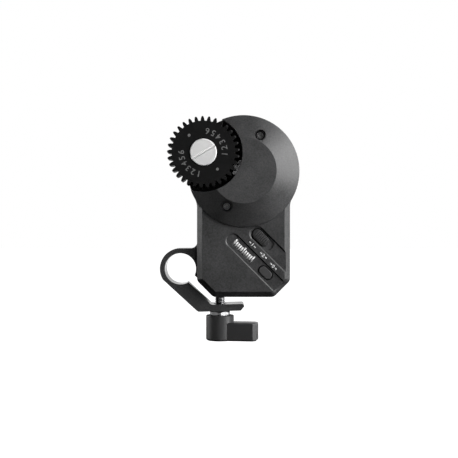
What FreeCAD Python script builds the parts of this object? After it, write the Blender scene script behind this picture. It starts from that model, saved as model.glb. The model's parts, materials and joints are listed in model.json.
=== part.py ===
import FreeCAD, Part
import math
import os

# Follow focus motor unit for 12 mm rods, in millimetres.
# Seen from the front, X points right, Z points up and Y points away from the viewer.
# The origin is on the axis of the rod bore, at the middle of the clamp's width.

# Rod clamp
ROD_BORE_R = 6.2
RING_R = 8.2
CLAMP_HALF = 6.5
LIP_LOW = -3.6
FLARE = 2.6
ARM_SLOPE = math.radians(42.6)
ARM_INNER = 2.2
ARM_OUTER = 7.9
FOOT_TOP_LEFT = -14.32
FOOT_TOP_RIGHT = -13.93
FOOT_BOTTOM_LEFT = -17.14
FOOT_BOTTOM_RIGHT = -16.66
FOOT_SEAT = -17.03
FOOT_END_TOP = 26.4
FOOT_END_BOTTOM = 24.0
FOOT_CORNER_R = 1.6
FOOT_TIP_R = 0.8
FOOT_HOLE_R = 2.7
LIP_CORNER = (5.5, -2.5)

# Clamp screw, washer and lever, all about one upright axis
SCREW_X = 15.68
SCREW_R = 2.0
SCREW_ROOT_R = 1.62
SCREW_PITCH = 0.7
SCREW_TOP = -5.7
THREAD_CREST = 0.2
WASHER_R = 4.1
WASHER_T = 0.4
WASHER_GAP = 0.02
COLLAR_FLATS = 8.0
COLLAR_RIM = 0.3
COLLAR_CHAMFER = 0.25
COLLAR_TURN = 28.0
HUB_TOP = -18.9
HUB_BOTTOM = -29.15
HUB_R = 5.65
WING_TOP = -21.73
WING_BOTTOM = -29.06
WING_REACH = 15.3
WING_HALF = 4.4
WING_CORNER = 1.4
WING_TURN = -9.0
HUB_TOP_EDGE_R = 0.45
HUB_BOTTOM_EDGE_R = 0.9
WING_EDGE_R = 0.7
LEVER_BORE_DEPTH = 4.0
INSERT_R = 3.3
INSERT_TOP = -5.2
INSERT_GROOVE_DEPTH = 0.4
INSERT_GROOVE_WIDTH = 0.6
INSERT_GROOVES = (1.4, 3.6)
RUN_GAP = 0.05

# Box body
BODY_LEFT = 6.72
BODY_RIGHT = 43.40
BODY_BOTTOM = -10.98
BODY_CORNER = 6.4
BODY_FRONT = -12.0
BODY_BACK = 12.0
BODY_BEVEL = 2.2
BEVEL_EDGE_R = 0.3
BACK_BEVEL = 1.4
CORNER_R = 2.5
SHOULDER_R = 8.0
COVER_SEAM = 9.5
COVER_FLOOR = 10.4
WALL = 1.8
FACE_WALL = 2.4

# Round head
HEAD_X = 25.0
HEAD_Z = 38.5
HEAD_R = 21.9
HEAD_FLAT_R = 12.75
HEAD_FLAT = -17.5
HEAD_RIM = -12.8
HEAD_SEAT = -10.0
HEAD_WALL = -8.4
HEAD_GAP = 0.05
HEAD_SCREW_CIRCLE = 15.3
HEAD_SCREW_ANGLES = (65.0, 244.6)
HEAD_SCREW_HEAD_R = 1.38
HEAD_SCREW_HEAD_T = 1.3
HEAD_SCREW_GRIP = 2.0
HEAD_BORE_R = 2.12
HEAD_BORE_SEAT = -11.7
SHAFT_HOLE_GAP = 0.5
BLIND = 0.5

# Drive gear, on a spindle at the upper left of the head
GEAR_X = 9.45
GEAR_Z = 45.4
GEAR_TEETH = 33
GEAR_MODULE = 0.8
GEAR_TIP_R = 14.0
GEAR_ROOT_R = 12.2
GEAR_PHASE = 178.6
GEAR_FRONT = -18.5
GEAR_BACK = -10.5
GEAR_POCKET_R = 15.1
TIP_CHAMFER = 0.45
PIN_CIRCLE_R = 8.5
PIN_ANGLES = (130.0, 310.0)
PIN_R = 0.55
CAP_R = 5.2
CAP_FRONT = -19.1
CAP_SEAT = -17.7
CAP_EDGE_R = 0.4
CAP_GAP = 0.15
CAP_SHANK_R = 1.5
CAP_SHANK_SHORT = 0.5
PIN_PROUD = 0.05
SLOT_ANGLE = 31.0
SLOT_WIDTH = 1.15
SLOT_FLOOR_WIDTH = 0.25
SLOT_DEPTH = 0.4
SPINDLE_HUB_R = 3.2
SPINDLE_R = 2.0
SPINDLE_END = -3.3
FLANGE_R = 9.5
FLANGE_T = 1.2
SPINDLE_BEARING_R = 3.5
SPINDLE_BEARING_T = 2.0
SPINDLE_BOSS_R = 4.9
SPINDLE_BOSS_END = -4.0
BEARING_GAP = 0.02
BEARING_INSET = 0.1
CLIP_BACK = -3.6
CLIP_T = 0.4
CLIP_DEPTH = 0.4
CLIP_REACH = 1.2
CLIP_GAP = 2.0

# Pinion and planetary gearbox, about the motor axis
CENTRE_DISTANCE = 17.5
PINION_BEARING = -23.93
PINION_TEETH = 10
PINION_SHIFT = 0.395
PINION_TIP_R = 5.1
PINION_ROOT_R = 3.3
PINION_FRONT = -16.4
PINION_BACK = -10.8
PINION_CAVITY_R = 5.6
PINION_CAVITY_FRONT = -16.7
JOURNAL_R = 2.5
OUTPUT_BEARING_R = 4.0
OUTPUT_BEARING_FRONT = -9.4
OUTPUT_BEARING_BACK = -6.9
PLANET_MODULE = 0.5
SUN_TEETH = 12
PLANET_TEETH = 15
RING_TEETH = 42
ADDENDUM = 0.85
RING_ADDENDUM = 0.70
DEDENDUM = 1.15
PRESSURE = math.radians(20.0)
THINNING = 0.08
PLANET_ANGLES = (90.0, 210.0, 330.0)
PLANET_PIN_R = 1.0
PLANET_PIN_GAP = 0.03
CARRIER_R = 9.4
CARRIER_FRONT = -6.6
CARRIER_BACK = -5.1
PLANET_FRONT = -4.9
PLANET_BACK = -1.4
RING_GEAR_R = 12.2
RING_GEAR_FRONT = -6.8
RING_GEAR_BACK = -0.9
LUG_CIRCLE_R = 14.1
LUG_R = 2.4
LUG_OFFSETS = (60.0, 180.0, 300.0)
MOTOR_SCREW_LENGTH = 10.4

# Motor and encoder
PLATE_BACK = 0.3
CAN_R = 12.0
CAN_BACK = 7.4
CAN_WALL = 0.8
STATOR_R = 11.1
STATOR_BORE = 6.6
STATOR_TEETH = 9
STATOR_FRONT = 1.6
STATOR_BACK = 6.4
STATOR_SLOT_R = 1.25
STATOR_SLOT_IN = 0.3
ROTOR_R = 6.2
ROTOR_FRONT = 1.8
ROTOR_BACK = 6.1
SHAFT_R = 1.25
SHAFT_BACK = 7.6
MOTOR_BEARING_R = 3.0
MOTOR_BEARING_T = 1.2
PLATE_HOLE_R = 3.2
ENCODER_MAGNET_R = 2.0
ENCODER_MAGNET_T = 0.6
ENCODER_CHIP = 3.0
ENCODER_CHIP_T = 0.4
ENCODER_POST_R = 1.4
ENCODER_BOARD_R = 8.6
ENCODER_BOARD_FRONT = 8.8
ENCODER_BOARD_BACK = 9.6
ENCODER_SCREW_ANGLES = (20.0, 200.0)
ENCODER_SCREW_CIRCLE = 6.9
ENCODER_SCREW_HEAD_R = 1.35
ENCODER_SCREW_HEAD_T = 0.6
ENCODER_SCREW_LENGTH = 2.6

# Grooves, slider and button on the front face; they run down to the right at 45 degrees,
DIAGONAL = math.sqrt(0.5)
# and their walls slope at 45 degrees from the full width at the face to the floor
GROOVE_FLOOR = -11.52
UPPER_GROOVE = (30.40, 13.88)
UPPER_GROOVE_HALF = 3.08
LOWER_GROOVE = (20.91, 11.21)
LOWER_GROOVE_HALF = 2.95
GROOVE_RUN = 40.0
SLIDER_POCKET_START = 0.2
SLIDER_POCKET_HALF = 2.5
SLIDER_POCKET_RUN = 5.4
SLIDER_POCKET_FLOOR = -11.0
SLIDER_HALF = 1.98
SLIDER_RUN = 3.8
SLIDER_END_GAP = 0.5
SLIDER_TRAVEL = 1.6
SLIDER_FRONT = -11.72
SLIDER_BACK = -11.05
SLIDER_CHAMFER = 0.2
STEM_HALF = 0.8
STEM_GAP = 0.15
STEM_BACK = -7.6
SWITCH_FRONT = -8.3
SWITCH_LENGTH = 8.6
SWITCH_WIDTH = 3.8
SWITCH_SLOT_BACK = -7.4
RIB_COUNT = 7
RIB_PITCH = 0.8
RIB_HEIGHT = 0.22
RIB_WIDTH = 0.4
RIB_LENGTH = 2.8
BUTTON = (33.6, -1.3)
BUTTON_HALF = 1.62
BUTTON_RUN = 2.65
BUTTON_GAP = 0.38
BUTTON_FRONT = -11.85
BUTTON_EDGE_R = 0.3
BUTTON_FLANGE = 0.6
BUTTON_FLANGE_FRONT = -9.5
BUTTON_FLANGE_BACK = -8.9
TACT_SIDE = 4.4
TACT_FRONT = -8.1
TACT_STEM_R = 1.1
TACT_STEM_FRONT = -8.55

# Main board and what it carries
BOARD_LEFT = 10.0
BOARD_RIGHT = 40.2
BOARD_TOP = 16.4
BOARD_LOW = -7.4
BOARD_CORNER = 4.2
BOARD_FRONT = -6.6
BOARD_BACK = -5.6
BOARD_SCREWS = ((12.2, 13.4), (38.0, 13.4), (12.0, -4.0), (31.0, -5.4))
POST_R = 1.7
USB_Z = 6.2
USB_HALF_LENGTH = 4.47
USB_HALF_HEIGHT = 1.6
USB_DEPTH = 7.3
USB_MOUTH = 43.1
USB_SHELL_T = 0.3
USB_BACK_WALL = 1.2
USB_TONGUE_T = 0.7
USB_TONGUE_LENGTH = 6.4
USB_TONGUE_SHORT = 0.8
USB_GAP = 0.2
RADIO_LEFT = 21.0
RADIO_RIGHT = 34.0
RADIO_LOW = -3.0
RADIO_HIGH = 7.0
RADIO_T = 0.6
SHIELD_RIGHT = 30.4
SHIELD_INSET = 0.6
SHIELD_T = 1.6
CONNECTOR_Z = 14.4
CONNECTOR_HEIGHT = 2.8
CONNECTOR_T = 1.6
CONNECTOR_OVER = 0.8
FLEX_LEFT = 22.6
FLEX_RIGHT = 28.6
FLEX_T = 0.2
FLEX_LAP = 2.5

# Fasteners
M2_R = 1.0
M2_HEAD_R = 1.9
M2_HEAD_T = 1.8
M16_R = 0.8
M16_HEAD_R = 1.45
M16_HEAD_T = 0.8
HEAD_CHAMFER = 0.15
SOCKET_DEPTH = 0.6
BOARD_SCREW_LENGTH = 3.4
COVER_SCREW_LENGTH = 7.5
BASE_SCREW_LENGTH = 5.5
BASE_SCREW_HOLE = 3.8
COVER_BORE_R = 2.2
COVER_BOSS_R = 2.3
COVER_BOSS_FRONT = 0.0
COVER_SCREW_SEAT = 10.6
COVER_SCREW_HEAD_T = 1.2
COVER_SCREWS_LOW = ((10.4, -0.5), (39.72, -0.5))
COVER_SCREW_CIRCLE = 18.4
COVER_SCREW_ANGLES = (30.0, 118.0)
BASE_SCREW_Z = 6.95
BASE_SCREW_Y = 4.2

BACKWARD = FreeCAD.Vector(0, 1, 0)
FORWARD = FreeCAD.Vector(0, -1, 0)
UPWARD = FreeCAD.Vector(0, 0, 1)
LEFTWARD = FreeCAD.Vector(-1, 0, 0)
DIAGONAL_TURN = FreeCAD.Rotation(FORWARD, -45)


def around(x, z, radius, degrees):
    """Point (x, z) at a distance and an angle from a centre, as seen from the front."""
    turn = math.radians(degrees)
    return x + radius * math.cos(turn), z + radius * math.sin(turn)


MOTOR_X, MOTOR_Z = around(GEAR_X, GEAR_Z, CENTRE_DISTANCE, PINION_BEARING)
PLANET_CIRCLE_R = PLANET_MODULE * (SUN_TEETH + PLANET_TEETH) / 2
LUGS = [around(MOTOR_X, MOTOR_Z, LUG_CIRCLE_R, PINION_BEARING + 180 + a) for a in LUG_OFFSETS]
HEAD_SCREWS = [around(HEAD_X, HEAD_Z, HEAD_SCREW_CIRCLE, a) for a in HEAD_SCREW_ANGLES]
COVER_SCREWS = list(COVER_SCREWS_LOW)
COVER_SCREWS += [around(HEAD_X, HEAD_Z, COVER_SCREW_CIRCLE, a) for a in COVER_SCREW_ANGLES]


# ---- simple shapes ----

def drum(x, z, radius, front, back):
    """Cylinder along Y."""
    return Part.makeCylinder(radius, back - front, FreeCAD.Vector(x, front, z), BACKWARD)


def tube(x, z, outer, inner, front, back):
    """Hollow cylinder along Y."""
    return drum(x, z, outer, front, back).cut(drum(x, z, inner, front, back))


def cone(x, z, front_radius, back_radius, front, back):
    """Truncated cone along Y."""
    foot = FreeCAD.Vector(x, front, z)
    return Part.makeCone(front_radius, back_radius, back - front, foot, BACKWARD)


def pillar(radius, low, high):
    """Cylinder along Z on the clamp screw's axis."""
    return Part.makeCylinder(radius, high - low, FreeCAD.Vector(SCREW_X, 0, low), UPWARD)


def block(x0, x1, y0, y1, z0, z1):
    """Box from corner to corner."""
    return Part.makeBox(x1 - x0, y1 - y0, z1 - z0, FreeCAD.Vector(x0, y0, z0))


def slab(points, front, back):
    """Prism along Y over a polygon of (x, z) points."""
    corners = [FreeCAD.Vector(x, front, z) for x, z in points]
    face = Part.Face(Part.makePolygon(corners + corners[:1]))
    return face.extrude(BACKWARD * (back - front))


def diagonal_slot(start, run, half, front, back):
    """Round-ended bar along the diagonal; start is the centre of its upper left end."""
    side = FreeCAD.Vector(DIAGONAL, 0, DIAGONAL) * half
    along = FreeCAD.Vector(DIAGONAL, 0, -DIAGONAL)
    first = FreeCAD.Vector(start[0], front, start[1])
    last = first + along * run
    edges = [
        Part.LineSegment(first + side, last + side).toShape(),
        Part.Arc(last + side, last + along * half, last - side).toShape(),
        Part.LineSegment(last - side, first - side).toShape(),
        Part.Arc(first - side, first - along * half, first + side).toShape(),
    ]
    return Part.Face(Part.Wire(edges)).extrude(BACKWARD * (back - front))


def hexagon(flats, height):
    """Hexagonal prism standing on the origin, with a corner on the local X axis."""
    sides = 6
    corner_r = flats / 2 / math.cos(math.pi / sides)
    corners = []
    for k in range(sides):
        turn = 2 * math.pi * k / sides
        corners.append(FreeCAD.Vector(corner_r * math.cos(turn), corner_r * math.sin(turn), 0))
    return Part.Face(Part.makePolygon(corners + corners[:1])).extrude(UPWARD * height)


def aim(shape, point, direction):
    """Turn a shape that stands along Z to a direction, and move its foot to a point."""
    shape.Placement = FreeCAD.Placement(point, FreeCAD.Rotation(UPWARD, direction))
    return shape


def screw(point, direction, head_r, head_t, shank_r, length):
    """Socket screw; the point is the top of its head, and it is driven in the direction."""
    head = Part.makeCylinder(head_r, head_t)
    head = head.makeChamfer(HEAD_CHAMFER * head_t, [head.Edges[2]])
    shank = Part.makeCylinder(shank_r, length, FreeCAD.Vector(0, 0, head_t / 2))
    socket = hexagon(head_r, head_t * SOCKET_DEPTH)
    return aim(head.fuse(shank).cut(socket).removeSplitter(), point, direction)


def edges_along_y(shape, x, z):
    """Edges of a shape that run along Y through (x, z)."""
    found = []
    for edge in shape.Edges:
        ends = [v.Point for v in edge.Vertexes]
        if len(ends) == 2 and all(math.hypot(p.x - x, p.z - z) < 0.001 for p in ends):
            found.append(edge)
    return found


def edges_in_plane(shape, y):
    """Edges of a shape that lie in a plane square to Y."""
    return [e for e in shape.Edges
            if abs(e.BoundBox.YMin - y) < 0.001 and abs(e.BoundBox.YMax - y) < 0.001]


# ---- toothed shapes ----

def involute(angle):
    return math.tan(angle) - angle


def gear(x, z, teeth, module, shift, tip_r, root_r, thinning, phase, front, back):
    """Involute gear prism along Y; phase is the angle of one tooth's middle in degrees."""
    pitch_r = teeth * module / 2
    base_r = pitch_r * math.cos(PRESSURE)
    flank_foot = max(root_r, base_r)
    half_pitch = (math.pi / 2 + 2 * shift * math.tan(PRESSURE)) / teeth - thinning / (2 * pitch_r)

    def half_width(radius):
        pressure = math.acos(min(1.0, base_r / radius))
        return half_pitch + involute(PRESSURE) - involute(pressure)

    def place(radius, turn):
        return FreeCAD.Vector(x + radius * math.cos(turn), front, z + radius * math.sin(turn))

    step = 2 * math.pi / teeth
    flank_mid = (flank_foot + tip_r) / 2
    edges = []
    for k in range(teeth):
        middle = math.radians(phase) + k * step
        for side in (-1, 1):
            foot = place(flank_foot, middle + side * half_width(flank_foot))
            mid = place(flank_mid, middle + side * half_width(flank_mid))
            tip = place(tip_r, middle + side * half_width(tip_r))
            edges.append(Part.Arc(foot, mid, tip).toShape())
            if flank_foot > root_r + 0.001:
                root = place(root_r, middle + side * half_width(flank_foot))
                edges.append(Part.LineSegment(root, foot).toShape())
        tip_width = half_width(tip_r)
        crown = [place(tip_r, middle + a) for a in (-tip_width, 0, tip_width)]
        edges.append(Part.Arc(*crown).toShape())
        root_edge = half_width(flank_foot)
        valley = [place(root_r, middle + a) for a in (root_edge, step / 2, step - root_edge)]
        edges.append(Part.Arc(*valley).toShape())
    outline = Part.Wire(Part.__sortEdges__(edges))
    return Part.Face(outline).extrude(BACKWARD * (back - front))


def planet_set_gear(x, z, teeth, thinning, phase, addendum=ADDENDUM, dedendum=DEDENDUM):
    """Gear of the planetary stage over the planets' width."""
    pitch_r = teeth * PLANET_MODULE / 2
    tip_r = pitch_r + addendum * PLANET_MODULE
    root_r = pitch_r - dedendum * PLANET_MODULE
    return gear(x, z, teeth, PLANET_MODULE, 0, tip_r, root_r, thinning, phase,
                PLANET_FRONT, PLANET_BACK)


def chamfered_disc(x, z, radius, front, back, cut):
    """Disc with both rims cut at 45 degrees."""
    middle = drum(x, z, radius, front + cut, back - cut)
    lead = cone(x, z, radius - cut, radius, front, front + cut)
    tail = cone(x, z, radius, radius - cut, back - cut, back)
    return middle.fuse([lead, tail]).removeSplitter()


# ---- housing ----

def body_outline(inset):
    """Corners of the box body, which ends inside the round head."""
    cut = BODY_CORNER - inset * (2 - math.sqrt(2))
    left, right, low = BODY_LEFT + inset, BODY_RIGHT - inset, BODY_BOTTOM + inset
    return [
        (left, HEAD_Z), (left, low + cut), (left + cut, low),
        (right - cut, low), (right, low + cut), (right, HEAD_Z),
    ]


def shoulder(side, outward):
    """Arc from a side wall up to the round head: its start, middle and end as (x, z)."""
    centre_x = side + outward * SHOULDER_R
    away_x = centre_x - HEAD_X
    away_z = -math.sqrt((HEAD_R + SHOULDER_R) ** 2 - away_x ** 2)
    centre_z = HEAD_Z + away_z
    share = HEAD_R / (HEAD_R + SHOULDER_R)
    end = (HEAD_X + away_x * share, HEAD_Z + away_z * share)
    lean = math.atan2(end[1] - centre_z, (end[0] - centre_x) * -outward) / 2
    middle = (centre_x - outward * SHOULDER_R * math.cos(lean),
              centre_z + SHOULDER_R * math.sin(lean))
    return (side, centre_z), middle, end


def outer_prism(front, back):
    """Prism over the whole outline of body and head, with rounded corners."""
    def at(point):
        return FreeCAD.Vector(point[0], front, point[1])

    left_arc = [at(p) for p in shoulder(BODY_LEFT, -1)]
    right_arc = [at(p) for p in shoulder(BODY_RIGHT, 1)]
    lower = [at(p) for p in body_outline(0)[1:5]]
    chain = [left_arc[0]] + lower + [right_arc[0]]
    edges = [Part.LineSegment(a, b).toShape() for a, b in zip(chain, chain[1:])]
    edges.append(Part.Arc(*right_arc).toShape())
    edges.append(Part.Arc(right_arc[2], at((HEAD_X, HEAD_Z + HEAD_R)), left_arc[2]).toShape())
    edges.append(Part.Arc(*reversed(left_arc)).toShape())
    prism = Part.Face(Part.Wire(edges)).extrude(BACKWARD * (back - front))
    corners = [e for x, z in body_outline(0)[1:5] for e in edges_along_y(prism, x, z)]
    return prism.makeFillet(CORNER_R, corners)


def lower_part(points, top):
    """The same outline, ended at another height."""
    return [(x, min(z, top)) for x, z in points]


def front_housing():
    shell = outer_prism(BODY_FRONT, COVER_SEAM)
    shell = shell.makeChamfer(BODY_BEVEL, edges_in_plane(shell, BODY_FRONT))
    borders = edges_in_plane(shell, BODY_FRONT) + edges_in_plane(shell, BODY_FRONT + BODY_BEVEL)
    shell = shell.makeFillet(BEVEL_EDGE_R, borders)
    shell = shell.cut(drum(HEAD_X, HEAD_Z, HEAD_R + HEAD_GAP, BODY_FRONT - 1, HEAD_SEAT))

    face_inside = BODY_FRONT + FACE_WALL
    control_top = HEAD_Z - HEAD_R - WALL
    inside = slab(body_outline(WALL), HEAD_WALL, COVER_SEAM)
    inside = inside.fuse([
        slab(lower_part(body_outline(WALL), control_top), face_inside, HEAD_WALL),
        drum(HEAD_X, HEAD_Z, HEAD_R - WALL, HEAD_WALL, COVER_SEAM),
    ])

    bosses = [
        drum(GEAR_X, GEAR_Z, SPINDLE_BOSS_R, HEAD_WALL, SPINDLE_BOSS_END),
        drum(MOTOR_X, MOTOR_Z, OUTPUT_BEARING_R + WALL, HEAD_WALL, OUTPUT_BEARING_BACK),
        pillar(INSERT_R + WALL, BODY_BOTTOM + WALL, INSERT_TOP),
    ]
    bosses += [drum(x, z, LUG_R, HEAD_WALL, RING_GEAR_FRONT) for x, z in LUGS]
    bosses += [drum(x, z, LUG_R, HEAD_WALL, BOARD_BACK) for x, z in HEAD_SCREWS]
    bosses += [drum(x, z, POST_R, face_inside, BOARD_FRONT) for x, z in BOARD_SCREWS]
    bosses += [drum(x, z, COVER_BOSS_R, COVER_BOSS_FRONT, COVER_SEAM) for x, z in COVER_SCREWS]
    envelope = slab(body_outline(WALL / 2), face_inside, COVER_SEAM)
    envelope = envelope.fuse(drum(HEAD_X, HEAD_Z, HEAD_R - WALL / 2, HEAD_WALL, COVER_SEAM))
    ribs = bosses[0].fuse(bosses[1:]).common(envelope)

    holes = [
        drum(GEAR_X, GEAR_Z, SPINDLE_BEARING_R, HEAD_SEAT - 1, SPINDLE_BOSS_END + 1),
        drum(MOTOR_X, MOTOR_Z, JOURNAL_R + SHAFT_HOLE_GAP, HEAD_SEAT - 1, HEAD_SEAT + 1),
        drum(MOTOR_X, MOTOR_Z, OUTPUT_BEARING_R, OUTPUT_BEARING_FRONT, 0),
        pillar(INSERT_R, BODY_BOTTOM - 1, INSERT_TOP + 1),
        groove(UPPER_GROOVE, UPPER_GROOVE_HALF),
        groove(LOWER_GROOVE, LOWER_GROOVE_HALF),
        diagonal_slot(down_the_groove(SLIDER_POCKET_START), SLIDER_POCKET_RUN,
                      SLIDER_POCKET_HALF, BODY_FRONT, SLIDER_POCKET_FLOOR),
        stem_slot(face_inside + BLIND),
        button_shape(BUTTON_HALF + BUTTON_GAP, BODY_FRONT, face_inside + 1),
        usb_shape(BODY_RIGHT - 2 * WALL, BODY_RIGHT + 1, USB_GAP),
    ]
    holes += [drum(x, z, M2_R, HEAD_SEAT + BLIND, 0) for x, z in LUGS]
    holes += [drum(x, z, M16_R, HEAD_SEAT - 1, 0) for x, z in HEAD_SCREWS]
    holes += [drum(x, z, M16_R, face_inside + BLIND, 0) for x, z in BOARD_SCREWS]
    holes += [drum(x, z, M2_R, COVER_BOSS_FRONT + 1, COVER_SEAM + 1) for x, z in COVER_SCREWS]
    for y in (-BASE_SCREW_Y, BASE_SCREW_Y):
        foot = FreeCAD.Vector(BODY_LEFT + 2 * WALL, y, BASE_SCREW_Z)
        holes.append(Part.makeCylinder(M16_R, 2 * WALL + 1, foot, LEFTWARD))
    shell = shell.cut(inside).fuse(ribs)
    return shell.cut(holes).removeSplitter()


def groove(start, half):
    """Open-ended groove with sloping walls; start is the centre of its round end."""
    slot = diagonal_slot(start, GROOVE_RUN, half, BODY_FRONT - 1, GROOVE_FLOOR)
    return slot.makeChamfer(GROOVE_FLOOR - BODY_FRONT, edges_in_plane(slot, GROOVE_FLOOR))


def stem_slot(back):
    """Slot in the slider pocket's floor for the slider's stem."""
    start = slider_middle()
    first = (start[0] - DIAGONAL * STEM_HALF, start[1] + DIAGONAL * STEM_HALF)
    run = 2 * STEM_HALF + SLIDER_TRAVEL
    return diagonal_slot(first, run, STEM_HALF + STEM_GAP, GROOVE_FLOOR, back)


def down_the_groove(along):
    """Point of the upper groove's centre line at a distance from its round end's centre."""
    return UPPER_GROOVE[0] + DIAGONAL * along, UPPER_GROOVE[1] - DIAGONAL * along


def slider_middle():
    """Middle of the slider at rest, near the upper left end of its pocket."""
    pocket_end = SLIDER_POCKET_START - SLIDER_POCKET_HALF
    return down_the_groove(pocket_end + SLIDER_END_GAP + SLIDER_HALF + SLIDER_RUN / 2)


def button_shape(half, front, back):
    """Round-ended bar about the button's centre, of a given half width."""
    start = (BUTTON[0] - DIAGONAL * BUTTON_RUN / 2, BUTTON[1] + DIAGONAL * BUTTON_RUN / 2)
    return diagonal_slot(start, BUTTON_RUN, half, front, back)


def usb_shape(left, right, grow):
    """Round-ended bar along X in the shape of the USB-C mouth."""
    radius = USB_HALF_HEIGHT + grow
    middle_y = BOARD_BACK + USB_HALF_HEIGHT
    reach = USB_HALF_LENGTH - USB_HALF_HEIGHT
    bar = block(left, right, middle_y - radius, middle_y + radius, USB_Z - reach, USB_Z + reach)
    ends = []
    for z in (USB_Z - reach, USB_Z + reach):
        foot = FreeCAD.Vector(left, middle_y, z)
        ends.append(Part.makeCylinder(radius, right - left, foot, FreeCAD.Vector(1, 0, 0)))
    return bar.fuse(ends).removeSplitter()


def head_cover():
    cover = drum(HEAD_X, HEAD_Z, HEAD_R, HEAD_RIM, HEAD_SEAT)
    cover = cover.fuse(cone(HEAD_X, HEAD_Z, HEAD_FLAT_R, HEAD_R, HEAD_FLAT, HEAD_RIM))
    holes = [
        drum(GEAR_X, GEAR_Z, GEAR_POCKET_R, HEAD_FLAT - 1, HEAD_SEAT + 1),
        drum(MOTOR_X, MOTOR_Z, PINION_CAVITY_R, PINION_CAVITY_FRONT, HEAD_SEAT + 1),
    ]
    holes += [drum(x, z, HEAD_BORE_R, HEAD_FLAT - 1, HEAD_BORE_SEAT) for x, z in HEAD_SCREWS]
    holes += [drum(x, z, M16_R, HEAD_BORE_SEAT - 1, HEAD_SEAT + 1) for x, z in HEAD_SCREWS]
    return cover.cut(holes).removeSplitter()


def head_cover_screws():
    length = HEAD_WALL - HEAD_BORE_SEAT + HEAD_SCREW_GRIP
    tops = [FreeCAD.Vector(x, HEAD_BORE_SEAT - HEAD_SCREW_HEAD_T, z) for x, z in HEAD_SCREWS]
    return [screw(p, BACKWARD, HEAD_SCREW_HEAD_R, HEAD_SCREW_HEAD_T, M16_R, length) for p in tops]


def rear_cover():
    cover = outer_prism(COVER_SEAM, BODY_BACK)
    cover = cover.makeChamfer(BACK_BEVEL, edges_in_plane(cover, BODY_BACK))
    inside = slab(body_outline(WALL), COVER_SEAM, COVER_FLOOR)
    inside = inside.fuse(drum(HEAD_X, HEAD_Z, HEAD_R - WALL, COVER_SEAM, COVER_FLOOR))
    pads = [drum(x, z, COVER_BOSS_R, COVER_SEAM, COVER_FLOOR) for x, z in COVER_SCREWS]
    inside = inside.cut(pads)
    holes = [drum(x, z, M2_R, COVER_SEAM - 1, BODY_BACK) for x, z in COVER_SCREWS]
    holes += [drum(x, z, COVER_BORE_R, COVER_SCREW_SEAT, BODY_BACK + 1)
              for x, z in COVER_SCREWS]
    return cover.cut([inside] + holes).removeSplitter()


def rear_cover_screws():
    top = COVER_SCREW_SEAT + COVER_SCREW_HEAD_T
    return [screw(FreeCAD.Vector(x, top, z), FORWARD, M2_HEAD_R, COVER_SCREW_HEAD_T, M2_R,
                  COVER_SCREW_LENGTH) for x, z in COVER_SCREWS]


# ---- rod clamp ----

def arm_point(offset, along):
    """Point of the arm at an offset from the bore's centre line and a distance along it."""
    return (along * math.cos(ARM_SLOPE) - offset * math.sin(ARM_SLOPE),
            -along * math.sin(ARM_SLOPE) - offset * math.cos(ARM_SLOPE))


def arm_meets(offset, height):
    """Distance along the arm's line at which it comes to a height."""
    return -(height + offset * math.cos(ARM_SLOPE)) / math.sin(ARM_SLOPE)


def clamp_base():
    ring = drum(0, 0, RING_R, -CLAMP_HALF, CLAMP_HALF)
    ring = ring.common(block(-RING_R, 0, -CLAMP_HALF, CLAMP_HALF, 0, RING_R))
    bridge = slab([(0, 0), (0, RING_R), (BODY_LEFT, RING_R), (BODY_LEFT, LIP_LOW), LIP_CORNER],
                  -CLAMP_HALF, CLAMP_HALF)
    flare = block(BODY_LEFT - FLARE, BODY_LEFT, -CLAMP_HALF, CLAMP_HALF, RING_R, RING_R + FLARE)
    flare = flare.cut(drum(BODY_LEFT - FLARE, RING_R + FLARE, FLARE, -CLAMP_HALF, CLAMP_HALF))
    base = ring.fuse([bridge, flare]).cut(drum(0, 0, ROD_BORE_R, -CLAMP_HALF, CLAMP_HALF))
    for y in (-BASE_SCREW_Y, BASE_SCREW_Y):
        foot = FreeCAD.Vector(BODY_LEFT, y, BASE_SCREW_Z)
        base = base.cut(Part.makeCylinder(M16_R, BASE_SCREW_HOLE, foot, LEFTWARD))
    return base.removeSplitter()


def clamp_base_screws():
    head_x = BODY_LEFT + WALL + M16_HEAD_T
    tops = [FreeCAD.Vector(head_x, y, BASE_SCREW_Z) for y in (-BASE_SCREW_Y, BASE_SCREW_Y)]
    return [screw(p, LEFTWARD, M16_HEAD_R, M16_HEAD_T, M16_R, BASE_SCREW_LENGTH) for p in tops]


def clamp_jaw():
    far = -2 * RING_R
    corner = arm_point(ARM_OUTER, arm_meets(ARM_OUTER, FOOT_BOTTOM_LEFT))
    elbow = arm_point(ARM_INNER, arm_meets(ARM_INNER, FOOT_TOP_LEFT))
    band = slab([
        arm_point(ARM_OUTER, far), corner, (FOOT_END_BOTTOM, FOOT_BOTTOM_RIGHT),
        (FOOT_END_TOP, FOOT_TOP_RIGHT), elbow, arm_point(ARM_INNER, far),
    ], -CLAMP_HALF, CLAMP_HALF)
    band = band.makeFillet(FOOT_CORNER_R, edges_along_y(band, *corner)
                           + edges_along_y(band, *elbow))
    band = band.makeFillet(FOOT_TIP_R, edges_along_y(band, FOOT_END_TOP, FOOT_TOP_RIGHT))
    reach = 2 * FOOT_END_TOP
    beyond = slab([arm_point(reach, 0), arm_point(reach, reach),
                   arm_point(-reach, reach), arm_point(-reach, 0)], -CLAMP_HALF, CLAMP_HALF)
    jaw = band.common(beyond.fuse(drum(0, 0, RING_R, -CLAMP_HALF, CLAMP_HALF)))
    below = block(-reach, reach, -CLAMP_HALF, CLAMP_HALF, -reach, 0)
    jaw = jaw.common(below).cut(drum(0, 0, ROD_BORE_R, -CLAMP_HALF, CLAMP_HALF))
    hole = pillar(FOOT_HOLE_R, FOOT_BOTTOM_LEFT - 1, FOOT_TOP_RIGHT + 1)
    return jaw.cut(hole).removeSplitter()


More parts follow.
